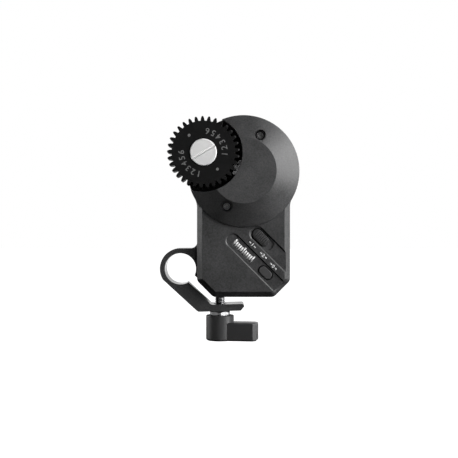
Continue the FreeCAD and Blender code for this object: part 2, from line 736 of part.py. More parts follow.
def clamp_thread_insert():
    insert = pillar(INSERT_R, BODY_BOTTOM, INSERT_TOP)
    for rise in INSERT_GROOVES:
        low = BODY_BOTTOM + rise
        high = low + INSERT_GROOVE_WIDTH
        core = pillar(INSERT_R - INSERT_GROOVE_DEPTH, low, high)
        insert = insert.cut(pillar(INSERT_R, low, high).cut(core))
    return insert.cut(pillar(SCREW_R + RUN_GAP, BODY_BOTTOM - 1, INSERT_TOP + 1))


def clamp_washer():
    high = FOOT_SEAT - WASHER_GAP
    return pillar(WASHER_R, high - WASHER_T, high).cut(
        pillar(SCREW_R + RUN_GAP, high - WASHER_T, high))


def clamp_screw():
    """Threaded rod with ring-shaped threads, and a hexagonal collar above the lever."""
    collar_top = FOOT_SEAT - WASHER_T - 2 * WASHER_GAP
    low = HUB_TOP - LEVER_BORE_DEPTH
    profile = [(0, low), (SCREW_R, low), (SCREW_R, FOOT_SEAT)]
    turns = int((SCREW_TOP - FOOT_SEAT) / SCREW_PITCH)
    for k in range(turns):
        crest = FOOT_SEAT + k * SCREW_PITCH
        profile.append((SCREW_R, crest + THREAD_CREST / 2))
        profile.append((SCREW_ROOT_R, crest + SCREW_PITCH / 2))
        profile.append((SCREW_R, crest + SCREW_PITCH - THREAD_CREST / 2))
    profile += [(SCREW_ROOT_R, SCREW_TOP), (0, SCREW_TOP)]
    corners = [FreeCAD.Vector(SCREW_X + r, 0, z) for r, z in profile]
    half = Part.Face(Part.makePolygon(corners + corners[:1]))
    rod = half.revolve(FreeCAD.Vector(SCREW_X, 0, 0), UPWARD, 360)
    collar = hexagon(COLLAR_FLATS, collar_top - HUB_TOP)
    turn = FreeCAD.Rotation(UPWARD, COLLAR_TURN)
    collar.Placement = FreeCAD.Placement(FreeCAD.Vector(SCREW_X, 0, HUB_TOP), turn)
    rim = pillar(COLLAR_FLATS / 2 + COLLAR_RIM, HUB_TOP, collar_top)
    rim = rim.makeChamfer(COLLAR_CHAMFER, [e for e in rim.Edges if len(e.Vertexes) == 1])
    return rod.fuse(collar.common(rim)).removeSplitter()


def clamp_lever():
    hub = pillar(HUB_R, HUB_BOTTOM, HUB_TOP)
    for radius, height in ((HUB_TOP_EDGE_R, HUB_TOP), (HUB_BOTTOM_EDGE_R, HUB_BOTTOM)):
        rim = [e for e in hub.Edges
               if abs(e.BoundBox.ZMin - height) < 0.001 and abs(e.BoundBox.ZMax - height) < 0.001]
        hub = hub.makeFillet(radius, rim)
    points = [
        (0, -WING_HALF), (WING_REACH - WING_CORNER, -WING_HALF),
        (WING_REACH, -WING_HALF + WING_CORNER), (WING_REACH, WING_HALF - WING_CORNER),
        (WING_REACH - WING_CORNER, WING_HALF), (0, WING_HALF),
    ]
    corners = [FreeCAD.Vector(x, y, WING_BOTTOM) for x, y in points]
    wing = Part.Face(Part.makePolygon(corners + corners[:1]))
    wing = wing.extrude(UPWARD * (WING_TOP - WING_BOTTOM))
    level = [e for e in wing.Edges if e.BoundBox.XMax > 0.001 and e.BoundBox.ZLength < 0.001]
    wing = wing.makeFillet(WING_EDGE_R, level)
    turn = FreeCAD.Rotation(UPWARD, WING_TURN)
    wing.Placement = FreeCAD.Placement(FreeCAD.Vector(SCREW_X, 0, 0), turn)
    bore = pillar(SCREW_R, HUB_TOP - LEVER_BORE_DEPTH, HUB_TOP + 1)
    return hub.fuse(wing).cut(bore).removeSplitter()


# ---- drive gear and its spindle ----

def drive_gear():
    wheel = gear(GEAR_X, GEAR_Z, GEAR_TEETH, GEAR_MODULE, 0, GEAR_TIP_R, GEAR_ROOT_R,
                 THINNING, GEAR_PHASE, GEAR_FRONT, GEAR_BACK)
    wheel = wheel.common(chamfered_disc(GEAR_X, GEAR_Z, GEAR_TIP_R, GEAR_FRONT, GEAR_BACK,
                                        TIP_CHAMFER))
    holes = [
        drum(GEAR_X, GEAR_Z, SPINDLE_HUB_R, GEAR_FRONT, GEAR_BACK),
        drum(GEAR_X, GEAR_Z, FLANGE_R, GEAR_BACK - FLANGE_T, GEAR_BACK),
        drum(GEAR_X, GEAR_Z, CAP_R + CAP_GAP, GEAR_FRONT, CAP_SEAT),
    ]
    for angle in PIN_ANGLES:
        x, z = around(GEAR_X, GEAR_Z, PIN_CIRCLE_R, angle)
        holes.append(drum(x, z, PIN_R, GEAR_FRONT, GEAR_BACK))
    return wheel.cut(holes)


def gear_spindle():
    flange_front = GEAR_BACK - FLANGE_T
    spindle = drum(GEAR_X, GEAR_Z, FLANGE_R, flange_front, GEAR_BACK)
    spindle = spindle.fuse([
        drum(GEAR_X, GEAR_Z, SPINDLE_HUB_R, CAP_SEAT, GEAR_BACK),
        drum(GEAR_X, GEAR_Z, SPINDLE_R, GEAR_BACK, SPINDLE_END),
    ])
    spindle = spindle.cut(tube(GEAR_X, GEAR_Z, SPINDLE_R, SPINDLE_R - CLIP_DEPTH,
                               CLIP_BACK - CLIP_T, CLIP_BACK))
    holes = [drum(GEAR_X, GEAR_Z, CAP_SHANK_R, CAP_SEAT, flange_front)]
    for angle in PIN_ANGLES:
        x, z = around(GEAR_X, GEAR_Z, PIN_CIRCLE_R, angle)
        holes.append(drum(x, z, PIN_R, flange_front, GEAR_BACK))
    return spindle.cut(holes).removeSplitter()


def gear_pins():
    pins = []
    for angle in PIN_ANGLES:
        x, z = around(GEAR_X, GEAR_Z, PIN_CIRCLE_R, angle)
        pins.append(drum(x, z, PIN_R, GEAR_FRONT - PIN_PROUD, GEAR_BACK))
    return pins


def gear_screw():
    cap = drum(GEAR_X, GEAR_Z, CAP_R, CAP_FRONT, CAP_SEAT)
    cap = cap.makeFillet(CAP_EDGE_R, edges_in_plane(cap, CAP_FRONT))
    shank_end = GEAR_BACK - FLANGE_T - CAP_SHANK_SHORT
    shank = drum(GEAR_X, GEAR_Z, CAP_SHANK_R, CAP_SEAT, shank_end)
    reach = CAP_R + 1
    section = [(0, -SLOT_WIDTH / 2), (SLOT_DEPTH, -SLOT_FLOOR_WIDTH / 2),
               (SLOT_DEPTH, SLOT_FLOOR_WIDTH / 2), (0, SLOT_WIDTH / 2)]
    corners = [FreeCAD.Vector(-reach, y, z) for y, z in section]
    slot = Part.Face(Part.makePolygon(corners + corners[:1]))
    slot = slot.extrude(FreeCAD.Vector(2 * reach, 0, 0))
    turn = FreeCAD.Rotation(FORWARD, SLOT_ANGLE)
    slot.Placement = FreeCAD.Placement(FreeCAD.Vector(GEAR_X, CAP_FRONT, GEAR_Z), turn)
    return cap.fuse(shank).cut(slot).removeSplitter()


def spindle_clip():
    clip = tube(GEAR_X, GEAR_Z, SPINDLE_R + CLIP_REACH, SPINDLE_R - CLIP_DEPTH,
                CLIP_BACK - CLIP_T, CLIP_BACK)
    return clip.cut(block(GEAR_X - CLIP_GAP / 2, GEAR_X + CLIP_GAP / 2,
                          CLIP_BACK - CLIP_T, CLIP_BACK, GEAR_Z - SPINDLE_BOSS_R, GEAR_Z))


def spindle_bearings():
    fronts = (HEAD_SEAT + BEARING_INSET, SPINDLE_BOSS_END - SPINDLE_BEARING_T - BEARING_INSET)
    return [tube(GEAR_X, GEAR_Z, SPINDLE_BEARING_R, SPINDLE_R + BEARING_GAP, front,
                 front + SPINDLE_BEARING_T) for front in fronts]


# ---- pinion and planetary gearbox ----

def pinion_phase():
    """Angle of a pinion tooth that meshes with the drive gear at rest."""
    pitch = 360.0 / GEAR_TEETH
    behind = (GEAR_PHASE - PINION_BEARING) % pitch
    space = PINION_BEARING + 180 - behind * GEAR_TEETH / PINION_TEETH
    return space + 180.0 / PINION_TEETH


def pinion():
    teeth = gear(MOTOR_X, MOTOR_Z, PINION_TEETH, GEAR_MODULE, PINION_SHIFT, PINION_TIP_R,
                 PINION_ROOT_R, THINNING, pinion_phase(), PINION_FRONT, PINION_BACK)
    teeth = teeth.common(chamfered_disc(MOTOR_X, MOTOR_Z, PINION_TIP_R, PINION_FRONT,
                                        PINION_BACK, TIP_CHAMFER))
    journal = drum(MOTOR_X, MOTOR_Z, JOURNAL_R, PINION_BACK, CARRIER_BACK)
    return teeth.fuse(journal).removeSplitter()


def planet_carrier():
    plate = drum(MOTOR_X, MOTOR_Z, CARRIER_R, CARRIER_FRONT, CARRIER_BACK)
    holes = [drum(MOTOR_X, MOTOR_Z, JOURNAL_R, CARRIER_FRONT, CARRIER_BACK)]
    holes += [drum(x, z, PLANET_PIN_R, CARRIER_FRONT, CARRIER_BACK) for x, z in planet_centres()]
    return plate.cut(holes)


def planet_centres():
    return [around(MOTOR_X, MOTOR_Z, PLANET_CIRCLE_R, angle) for angle in PLANET_ANGLES]


def carrier_pins():
    return [drum(x, z, PLANET_PIN_R, CARRIER_FRONT, PLANET_BACK) for x, z in planet_centres()]


def planet_gear(centre, angle):
    wheel = planet_set_gear(centre[0], centre[1], PLANET_TEETH, THINNING, angle)
    bore = drum(centre[0], centre[1], PLANET_PIN_R + PLANET_PIN_GAP, PLANET_FRONT, PLANET_BACK)
    return wheel.cut(bore)


def gearbox_ring():
    ring = drum(MOTOR_X, MOTOR_Z, RING_GEAR_R, RING_GEAR_FRONT, RING_GEAR_BACK)
    ring = ring.fuse([drum(x, z, LUG_R, RING_GEAR_FRONT, RING_GEAR_BACK) for x, z in LUGS])
    # The spaces of an internal gear have the shape of an outward gear's teeth.
    spaces = gear(MOTOR_X, MOTOR_Z, RING_TEETH, PLANET_MODULE, 0,
                  PLANET_MODULE * (RING_TEETH / 2 + DEDENDUM),
                  PLANET_MODULE * (RING_TEETH / 2 - RING_ADDENDUM),
                  -THINNING, PLANET_ANGLES[0], RING_GEAR_FRONT, RING_GEAR_BACK)
    holes = [drum(x, z, M2_R, RING_GEAR_FRONT, RING_GEAR_BACK) for x, z in LUGS]
    return ring.cut([spaces] + holes)


def gearbox_plate():
    plate = drum(MOTOR_X, MOTOR_Z, RING_GEAR_R, RING_GEAR_BACK, PLATE_BACK)
    plate = plate.fuse([drum(x, z, LUG_R, RING_GEAR_BACK, PLATE_BACK) for x, z in LUGS])
    holes = [drum(x, z, M2_R, RING_GEAR_BACK, PLATE_BACK) for x, z in LUGS]
    holes.append(drum(MOTOR_X, MOTOR_Z, PLATE_HOLE_R, RING_GEAR_BACK, PLATE_BACK))
    return plate.cut(holes).removeSplitter()


def motor_screws():
    tops = [FreeCAD.Vector(x, PLATE_BACK + M2_HEAD_T, z) for x, z in LUGS]
    return [screw(p, FORWARD, M2_HEAD_R, M2_HEAD_T, M2_R, MOTOR_SCREW_LENGTH) for p in tops]


def output_bearing():
    return tube(MOTOR_X, MOTOR_Z, OUTPUT_BEARING_R, JOURNAL_R + BEARING_GAP,
                OUTPUT_BEARING_FRONT, OUTPUT_BEARING_BACK)


# ---- motor and encoder ----

def motor_can():
    can = drum(MOTOR_X, MOTOR_Z, CAN_R, PLATE_BACK, CAN_BACK)
    inside = drum(MOTOR_X, MOTOR_Z, CAN_R - CAN_WALL, PLATE_BACK + CAN_WALL, CAN_BACK - CAN_WALL)
    bore = drum(MOTOR_X, MOTOR_Z, MOTOR_BEARING_R, PLATE_BACK, CAN_BACK)
    can = can.cut([inside, bore])
    posts = [drum(x, z, ENCODER_POST_R, CAN_BACK - CAN_WALL / 2, ENCODER_BOARD_FRONT)
             for x, z in encoder_screws_at()]
    holes = [drum(x, z, M16_R, CAN_BACK - CAN_WALL, ENCODER_BOARD_FRONT)
             for x, z in encoder_screws_at()]
    return can.fuse(posts).cut(holes).removeSplitter()


def encoder_screws_at():
    return [around(MOTOR_X, MOTOR_Z, ENCODER_SCREW_CIRCLE, a) for a in ENCODER_SCREW_ANGLES]


def stator_core():
    core = tube(MOTOR_X, MOTOR_Z, STATOR_R, STATOR_BORE, STATOR_FRONT, STATOR_BACK)
    for k in range(STATOR_TEETH):
        angle = 360 * k / STATOR_TEETH
        circle = (STATOR_R + STATOR_BORE) / 2 - STATOR_SLOT_IN
        x, z = around(MOTOR_X, MOTOR_Z, circle, angle)
        core = core.cut(drum(x, z, STATOR_SLOT_R, STATOR_FRONT, STATOR_BACK))
    return core


def motor_bearings():
    return [tube(MOTOR_X, MOTOR_Z, MOTOR_BEARING_R, SHAFT_R + BEARING_GAP, front,
                 front + MOTOR_BEARING_T) for front in (PLATE_BACK, CAN_BACK - MOTOR_BEARING_T)]


def sun_gear():
    wheel = planet_set_gear(MOTOR_X, MOTOR_Z, SUN_TEETH, THINNING, PLANET_ANGLES[0])
    return wheel.cut(drum(MOTOR_X, MOTOR_Z, SHAFT_R, PLANET_FRONT, PLANET_BACK))


def rotor_shaft():
    return drum(MOTOR_X, MOTOR_Z, SHAFT_R, PLANET_FRONT, SHAFT_BACK)


def rotor_magnet():
    return tube(MOTOR_X, MOTOR_Z, ROTOR_R, SHAFT_R, ROTOR_FRONT, ROTOR_BACK)


def encoder_magnet():
    return drum(MOTOR_X, MOTOR_Z, ENCODER_MAGNET_R, SHAFT_BACK, SHAFT_BACK + ENCODER_MAGNET_T)


def encoder_board():
    board = drum(MOTOR_X, MOTOR_Z, ENCODER_BOARD_R, ENCODER_BOARD_FRONT, ENCODER_BOARD_BACK)
    half = ENCODER_CHIP / 2
    chip = block(MOTOR_X - half, MOTOR_X + half, ENCODER_BOARD_FRONT - ENCODER_CHIP_T,
                 ENCODER_BOARD_FRONT, MOTOR_Z - half, MOTOR_Z + half)
    holes = [drum(x, z, M16_R, ENCODER_BOARD_FRONT, ENCODER_BOARD_BACK)
             for x, z in encoder_screws_at()]
    return board.fuse(chip).cut(holes).removeSplitter()


def encoder_board_screws():
    top = ENCODER_BOARD_BACK + ENCODER_SCREW_HEAD_T
    return [screw(FreeCAD.Vector(x, top, z), FORWARD, ENCODER_SCREW_HEAD_R,
                  ENCODER_SCREW_HEAD_T, M16_R, ENCODER_SCREW_LENGTH)
            for x, z in encoder_screws_at()]


# ---- main board and controls ----

def main_board():
    cut = BOARD_CORNER
    board = slab([
        (BOARD_LEFT, BOARD_TOP), (BOARD_LEFT, BOARD_LOW + cut), (BOARD_LEFT + cut, BOARD_LOW),
        (BOARD_RIGHT - cut, BOARD_LOW), (BOARD_RIGHT, BOARD_LOW + cut), (BOARD_RIGHT, BOARD_TOP),
    ], BOARD_FRONT, BOARD_BACK)
    return board.cut([drum(x, z, M16_R, BOARD_FRONT, BOARD_BACK) for x, z in BOARD_SCREWS])


def board_screws():
    tops = [FreeCAD.Vector(x, BOARD_BACK + M16_HEAD_T, z) for x, z in BOARD_SCREWS]
    return [screw(p, FORWARD, M16_HEAD_R, M16_HEAD_T, M16_R, BOARD_SCREW_LENGTH) for p in tops]


def radio_module():
    seat = BOARD_BACK + RADIO_T
    base = block(RADIO_LEFT, RADIO_RIGHT, BOARD_BACK, seat, RADIO_LOW, RADIO_HIGH)
    shield = block(RADIO_LEFT + SHIELD_INSET, SHIELD_RIGHT, seat, seat + SHIELD_T,
                   RADIO_LOW + SHIELD_INSET, RADIO_HIGH - SHIELD_INSET)
    return base.fuse(shield).removeSplitter()


def board_connector():
    return block(FLEX_LEFT - CONNECTOR_OVER, FLEX_RIGHT + CONNECTOR_OVER,
                 BOARD_BACK, BOARD_BACK + CONNECTOR_T,
                 CONNECTOR_Z - CONNECTOR_HEIGHT / 2, CONNECTOR_Z + CONNECTOR_HEIGHT / 2)


def motor_flex_cable():
    """Flat lead from the encoder board down the back and forward to the connector."""
    connector_back = BOARD_BACK + CONNECTOR_T
    low, back = CONNECTOR_Z - FLEX_T / 2, ENCODER_BOARD_FRONT
    high = MOTOR_Z - ENCODER_BOARD_R + FLEX_LAP
    points = [
        (connector_back, low), (back, low), (back, high), (back - FLEX_T, high),
        (back - FLEX_T, low + FLEX_T), (connector_back, low + FLEX_T),
    ]
    corners = [FreeCAD.Vector(FLEX_LEFT, y, z) for y, z in points]
    strip = Part.Face(Part.makePolygon(corners + corners[:1]))
    return strip.extrude(FreeCAD.Vector(FLEX_RIGHT - FLEX_LEFT, 0, 0))


def usb_c_socket():
    left = USB_MOUTH - USB_DEPTH
    shell = usb_shape(left, USB_MOUTH, 0)
    mouth = usb_shape(left + USB_BACK_WALL, USB_MOUTH, -USB_SHELL_T)
    middle_y = BOARD_BACK + USB_HALF_HEIGHT
    tongue = block(left + USB_BACK_WALL / 2, USB_MOUTH - USB_TONGUE_SHORT,
                   middle_y - USB_TONGUE_T / 2, middle_y + USB_TONGUE_T / 2,
                   USB_Z - USB_TONGUE_LENGTH / 2, USB_Z + USB_TONGUE_LENGTH / 2)
    return shell.cut(mouth).fuse(tongue).removeSplitter()


def slide_switch_body():
    x, z = slider_middle()
    shift = DIAGONAL * (SLIDER_TRAVEL / 2)
    case = block(-SWITCH_LENGTH / 2, SWITCH_LENGTH / 2, 0, BOARD_FRONT - SWITCH_FRONT,
                 -SWITCH_WIDTH / 2, SWITCH_WIDTH / 2)
    foot = FreeCAD.Vector(x + shift, SWITCH_FRONT, z - shift)
    case.Placement = FreeCAD.Placement(foot, DIAGONAL_TURN)
    first = (x - DIAGONAL * STEM_HALF, z + DIAGONAL * STEM_HALF)
    run = 2 * STEM_HALF + SLIDER_TRAVEL
    return case.cut(diagonal_slot(first, run, STEM_HALF + STEM_GAP, SWITCH_FRONT,
                                  SWITCH_SLOT_BACK))


def mode_slider():
    x, z = slider_middle()
    along = SLIDER_RUN / 2
    start = (x - DIAGONAL * along, z + DIAGONAL * along)
    knob = diagonal_slot(start, SLIDER_RUN, SLIDER_HALF, SLIDER_FRONT, SLIDER_BACK)
    knob = knob.makeChamfer(SLIDER_CHAMFER, edges_in_plane(knob, SLIDER_FRONT))
    ribs = []
    for k in range(RIB_COUNT):
        shift = (k - (RIB_COUNT - 1) / 2) * RIB_PITCH
        rib = block(-RIB_WIDTH / 2, RIB_WIDTH / 2, -RIB_HEIGHT, RIB_HEIGHT,
                    -RIB_LENGTH / 2, RIB_LENGTH / 2)
        middle = FreeCAD.Vector(x + DIAGONAL * shift, SLIDER_FRONT, z - DIAGONAL * shift)
        rib.Placement = FreeCAD.Placement(middle, DIAGONAL_TURN)
        ribs.append(rib)
    first = (x - DIAGONAL * STEM_HALF / 2, z + DIAGONAL * STEM_HALF / 2)
    stem = diagonal_slot(first, STEM_HALF, STEM_HALF, SLIDER_BACK, STEM_BACK)
    return knob.fuse(ribs + [stem]).removeSplitter()


def calibrate_button():
    cap = button_shape(BUTTON_HALF, BUTTON_FRONT, BUTTON_FLANGE_FRONT)
    cap = cap.makeFillet(BUTTON_EDGE_R, edges_in_plane(cap, BUTTON_FRONT))
    flange = button_shape(BUTTON_HALF + BUTTON_GAP + BUTTON_FLANGE, BUTTON_FLANGE_FRONT,
                          BUTTON_FLANGE_BACK)
    return cap.fuse(flange).removeSplitter()


def tact_switch():
    x, z = BUTTON
    half = TACT_SIDE / 2
    case = block(x - half, x + half, TACT_FRONT, BOARD_FRONT, z - half, z + half)
    return case.fuse(drum(x, z, TACT_STEM_R, TACT_STEM_FRONT, TACT_FRONT)).removeSplitter()


# ---- output ----

SINGLE = {
    "front_housing": front_housing, "head_cover": head_cover, "rear_cover": rear_cover,
    "clamp_base": clamp_base, "clamp_jaw": clamp_jaw,
    "clamp_thread_insert": clamp_thread_insert, "clamp_washer": clamp_washer,
    "clamp_screw": clamp_screw, "clamp_lever": clamp_lever,
    "drive_gear": drive_gear, "gear_spindle": gear_spindle, "gear_screw": gear_screw,
    "spindle_clip": spindle_clip, "pinion": pinion, "planet_carrier": planet_carrier,
    "gearbox_ring": gearbox_ring, "gearbox_plate": gearbox_plate,
    "output_bearing": output_bearing, "motor_can": motor_can, "stator_core": stator_core,
    "sun_gear": sun_gear, "rotor_shaft": rotor_shaft, "rotor_magnet": rotor_magnet,
    "encoder_magnet": encoder_magnet, "encoder_board": encoder_board,
    "main_board": main_board, "radio_module": radio_module,
    "board_connector": board_connector, "motor_flex_cable": motor_flex_cable,
    "usb_c_socket": usb_c_socket, "slide_switch_body": slide_switch_body,
    "mode_slider": mode_slider, "calibrate_button": calibrate_button,
    "tact_switch": tact_switch,
}
GROUPS = {
    "head_cover_screws": head_cover_screws, "rear_cover_screws": rear_cover_screws,
    "clamp_base_screws": clamp_base_screws, "gear_pins": gear_pins,
    "spindle_bearings": spindle_bearings, "carrier_pins": carrier_pins,
    "motor_screws": motor_screws, "motor_bearings": motor_bearings,
    "encoder_board_screws": encoder_board_screws, "board_screws": board_screws,
}


def save(name, shape):
    """Write one node, and print its size."""
    box = shape.BoundBox
    print("%-22s solids %d valid %s volume %9.2f  X %.2f %.2f  Y %.2f %.2f  Z %.2f %.2f" % (
        name, len(shape.Solids), shape.isValid(), shape.Volume,
        box.XMin, box.XMax, box.YMin, box.YMax, box.ZMin, box.ZMax))
    shape.exportStep("parts/%s.step" % name)


os.makedirs("parts", exist_ok=True)
for node, make in SINGLE.items():
    save(node, make())
for node, make in GROUPS.items():
    save(node, Part.makeCompound(make()))
for number, (centre, angle) in enumerate(zip(planet_centres(), PLANET_ANGLES), start=1):
    save("planet_gear_%d" % number, planet_gear(centre, angle))
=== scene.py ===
# %% [markdown]
# # A motor unit that turns a lens ring
#
# The unit is a machined aluminium box with a round gear head, a rod clamp and a black drive gear.
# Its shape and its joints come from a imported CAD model, the frame.
# This lesson gives that frame its edges, its printed marks, its finishes, a camera and soft light.

# %% Load the frame
import json
import math

import bmesh
import bpy
from mathutils import Matrix, Vector
from mathutils.geometry import intersect_point_line


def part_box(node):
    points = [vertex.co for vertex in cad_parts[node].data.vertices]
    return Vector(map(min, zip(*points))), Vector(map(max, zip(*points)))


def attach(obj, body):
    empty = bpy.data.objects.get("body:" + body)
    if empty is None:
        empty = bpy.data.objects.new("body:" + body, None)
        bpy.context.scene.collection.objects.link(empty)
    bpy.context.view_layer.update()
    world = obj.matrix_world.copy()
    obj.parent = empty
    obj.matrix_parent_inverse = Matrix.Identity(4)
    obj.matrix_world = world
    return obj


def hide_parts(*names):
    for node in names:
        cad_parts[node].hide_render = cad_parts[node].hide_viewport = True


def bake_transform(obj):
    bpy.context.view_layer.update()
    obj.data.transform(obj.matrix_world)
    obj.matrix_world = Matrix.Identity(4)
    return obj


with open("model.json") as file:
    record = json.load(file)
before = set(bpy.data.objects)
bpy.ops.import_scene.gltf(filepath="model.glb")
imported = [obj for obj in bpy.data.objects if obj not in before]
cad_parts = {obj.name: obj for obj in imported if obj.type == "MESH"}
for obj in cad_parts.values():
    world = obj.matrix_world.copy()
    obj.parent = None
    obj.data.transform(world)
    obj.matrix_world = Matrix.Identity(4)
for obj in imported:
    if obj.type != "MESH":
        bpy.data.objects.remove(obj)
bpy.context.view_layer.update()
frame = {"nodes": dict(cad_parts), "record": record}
MM = 0.001

# %% [markdown]
# ## Camera
#
# A small part is best seen from a little over a third of a metre, through a long lens.
# The lens then hardly widens the near side, so circles on the front stay circles.
# The camera looks straight along +Y, level with the middle of the unit.

# %% Place the camera
scene = bpy.context.scene
scene.view_settings.view_transform = "Standard"

SENSOR_WIDTH = 36.0
LENS = 71.11
CAMERA_PLACE = Vector((19.34, -366.5, 15.84)) * MM

camera_data = bpy.data.cameras.new("product_camera")
camera_data.sensor_width = SENSOR_WIDTH
camera_data.lens = LENS
camera = bpy.data.objects.new("product_camera", camera_data)
camera.location = CAMERA_PLACE
camera.rotation_euler = (math.radians(90), 0, 0)
scene.collection.objects.link(camera)
scene.camera = camera
print("camera at", tuple(round(v, 4) for v in camera.location))

# %% [markdown]
# ## Node helpers
#
# A finish is a tree of nodes. Building one by hand takes many lines that say little.
# One helper makes a node, sets its options and fills its inputs with a number, a colour or a link.

# %% Make a node in one call
def add(tree, kind, feeds=None, **options):
    """A new node; feeds gives its inputs a value or another node's output."""
    made = tree.nodes.new(kind)
    for option, value in options.items():
        setattr(made, option, value)
    for key, value in (feeds or {}).items():
        if isinstance(value, bpy.types.NodeSocket):
            tree.links.new(value, made.inputs[key])
        else:
            made.inputs[key].default_value = value
    return made


def remap(tree, value, low, high, to_low=0.0, to_high=1.0):
    """The value, moved from one range to another and held inside it."""
    feeds = {"Value": value, "From Min": low, "From Max": high, "To Min": to_low, "To Max": to_high}
    return add(tree, "ShaderNodeMapRange", feeds).outputs[0]


def calculate(tree, operation, *values):
    """The result of a Math node."""
    return add(tree, "ShaderNodeMath", dict(enumerate(values)), operation=operation).outputs[0]


def either_ray(tree, *kinds):
    """1 for the named kinds of ray, 0 for all others."""
    rays = add(tree, "ShaderNodeLightPath")
    seen = rays.outputs[kinds[0]]
    for kind in kinds[1:]:
        seen = calculate(tree, "MAXIMUM", seen, rays.outputs[kind])
    return seen


print("node helpers ready")

# %% [markdown]
# ## Light
#
# Dark metal shows its shape by what it reflects, so the lamps are large and soft.
# A wide box on the right lights the cone and the right bevel. A narrow one on the left answers it
# along the left edges only, so that the lower left of the head stays deep.
# A small one in front reaches the sockets of the two deep screws, and a weak one above and behind
# lights the tops.
# The light level is plain: a colour on the front renders about as it is written.

# %% Hang the soft boxes
MIDDLE = Vector((19.0, 0.0, 15.0)) * MM
LAMP_DISTANCE = 0.8


def softbox(name, azimuth, elevation, size, radiance):
    """A lamp that faces the unit; azimuth 0 is in front of it and 90 on its right."""
    lamp = bpy.data.lights.new(name, "AREA")
    lamp.shape = "RECTANGLE"
    lamp.size, lamp.size_y = size
    lamp.energy = radiance * math.pi * size[0] * size[1]
    turn, rise = math.radians(azimuth), math.radians(elevation)
    away = Vector((math.sin(turn) * math.cos(rise), -math.cos(turn) * math.cos(rise), math.sin(rise)))
    stand = bpy.data.objects.new(name, lamp)
    stand.location = MIDDLE + away * LAMP_DISTANCE
    stand.rotation_euler = away.to_track_quat("Z", "Y").to_euler()
    stand.visible_camera = False
    scene.collection.objects.link(stand)


softbox("right_box", 66, 19, (0.55, 0.7), 8.4)
softbox("left_box", -105, 16, (0.25, 0.5), 7.6)
softbox("top_box", 180, 66, (0.6, 0.5), 1.0)
softbox("front_box", 30, 30, (0.2, 0.2), 3.0)
print("lamps:", len(bpy.data.lights))

# %% [markdown]
# ## White room behind, dark room in front
#
# The background is a white wall. Flat tops that are seen at a low angle mirror it and look pale.
# The side where the camera stands is dark, so the front faces keep their own deep grey.
# The world holds both: white for every ray that the camera sends past the unit, and a ramp
# along Y for light that falls on it.

# %% Paint the world
DARK_SIDE = 0.02
WALL_STARTS = 0.35
WALL_IS_WHITE = 0.85

world = bpy.data.worlds.new("studio")
scene.world = world
world.use_nodes = True
room = world.node_tree
room.nodes.clear()
around = add(room, "ShaderNodeTexCoord").outputs["Generated"]
direction = add(room, "ShaderNodeSeparateXYZ", {0: around})
wall = remap(room, direction.outputs["Y"], WALL_STARTS, WALL_IS_WHITE, DARK_SIDE, 1.0)
white = either_ray(room, "Is Camera Ray", "Is Transmission Ray")
level = calculate(room, "MAXIMUM", wall, white)
sky = add(room, "ShaderNodeBackground", {"Color": (1.0, 1.0, 1.0, 1.0), "Strength": level})
add(room, "ShaderNodeOutputWorld", {"Surface": sky.outputs[0]})
print("world strength runs from", DARK_SIDE, "to 1")

# %% [markdown]
# ## Floor and black card
#
# The floor is pale and far enough down to leave the lever free. It adds a glow that only the camera
# and mirror rays see. The glow is lower near the unit, where the floor keeps a shadow,
# and grows to full white further out, where the floor meets the wall without a line.
# A black card lies under the unit to keep its undersides dark.

# %% Lay the floor
FLOOR_HEIGHT = -80 * MM
CARD_HEIGHT = -74 * MM
FLOOR_HALF = 4.0
CARD_HALF = 0.45
FLOOR_GLOW = 0.75
GLOW_GROWS = 0.2
GLOW_IS_FULL = 1.2


def sheet(name, half, height):
    """A square that faces up."""
    shape = bmesh.new()
    bmesh.ops.create_grid(shape, x_segments=1, y_segments=1, size=half)
    bmesh.ops.translate(shape, verts=shape.verts[:], vec=(MIDDLE.x, 0, height))
    mesh = bpy.data.meshes.new(name)
    shape.to_mesh(mesh)
    shape.free()
    made = bpy.data.objects.new(name, mesh)
    scene.collection.objects.link(made)
    return made


def plain_material(name):
    """A material with an empty tree and an output."""
    material = bpy.data.materials.new(name)
    material.use_nodes = True
    material.node_tree.nodes.clear()
    return material, material.node_tree


floor = sheet("floor", FLOOR_HALF, FLOOR_HEIGHT)
pale, tree = plain_material("pale_floor")
seen = either_ray(tree, "Is Camera Ray", "Is Glossy Ray", "Is Transmission Ray")
spot = add(tree, "ShaderNodeTexCoord").outputs["Object"]
reach = add(tree, "ShaderNodeVectorMath", {0: spot}, operation="LENGTH").outputs["Value"]
strength = remap(tree, reach, GLOW_GROWS, GLOW_IS_FULL, FLOOR_GLOW, 1.0)
glow = calculate(tree, "MULTIPLY", seen, strength)
lit = add(tree, "ShaderNodeBsdfDiffuse", {"Color": (0.8, 0.8, 0.8, 1)})
shine = add(tree, "ShaderNodeEmission", {"Strength": glow})
both = add(tree, "ShaderNodeAddShader", {0: lit.outputs[0], 1: shine.outputs[0]})
add(tree, "ShaderNodeOutputMaterial", {"Surface": both.outputs[0]})
floor.data.materials.append(pale)

card = sheet("black_card", CARD_HALF, CARD_HEIGHT)
felt, tree = plain_material("black_felt")
cloth = add(tree, "ShaderNodeBsdfDiffuse", {"Color": (0.004, 0.004, 0.004, 1)})
add(tree, "ShaderNodeOutputMaterial", {"Surface": cloth.outputs[0]})
card.data.materials.append(felt)
card.visible_camera = False
card.visible_shadow = False
print("heights in mm: floor", round(FLOOR_HEIGHT / MM), "and card", round(CARD_HEIGHT / MM))

# %% [markdown]
# ## Effects that several finishes share
#
# Real parts are never one even colour. Blasting leaves a fine grain, hands leave faint patches,
# and edges rub bright. Turned parts keep rings from the tool.
# Each of these is a node group, so that a finish only says how much of it there is.

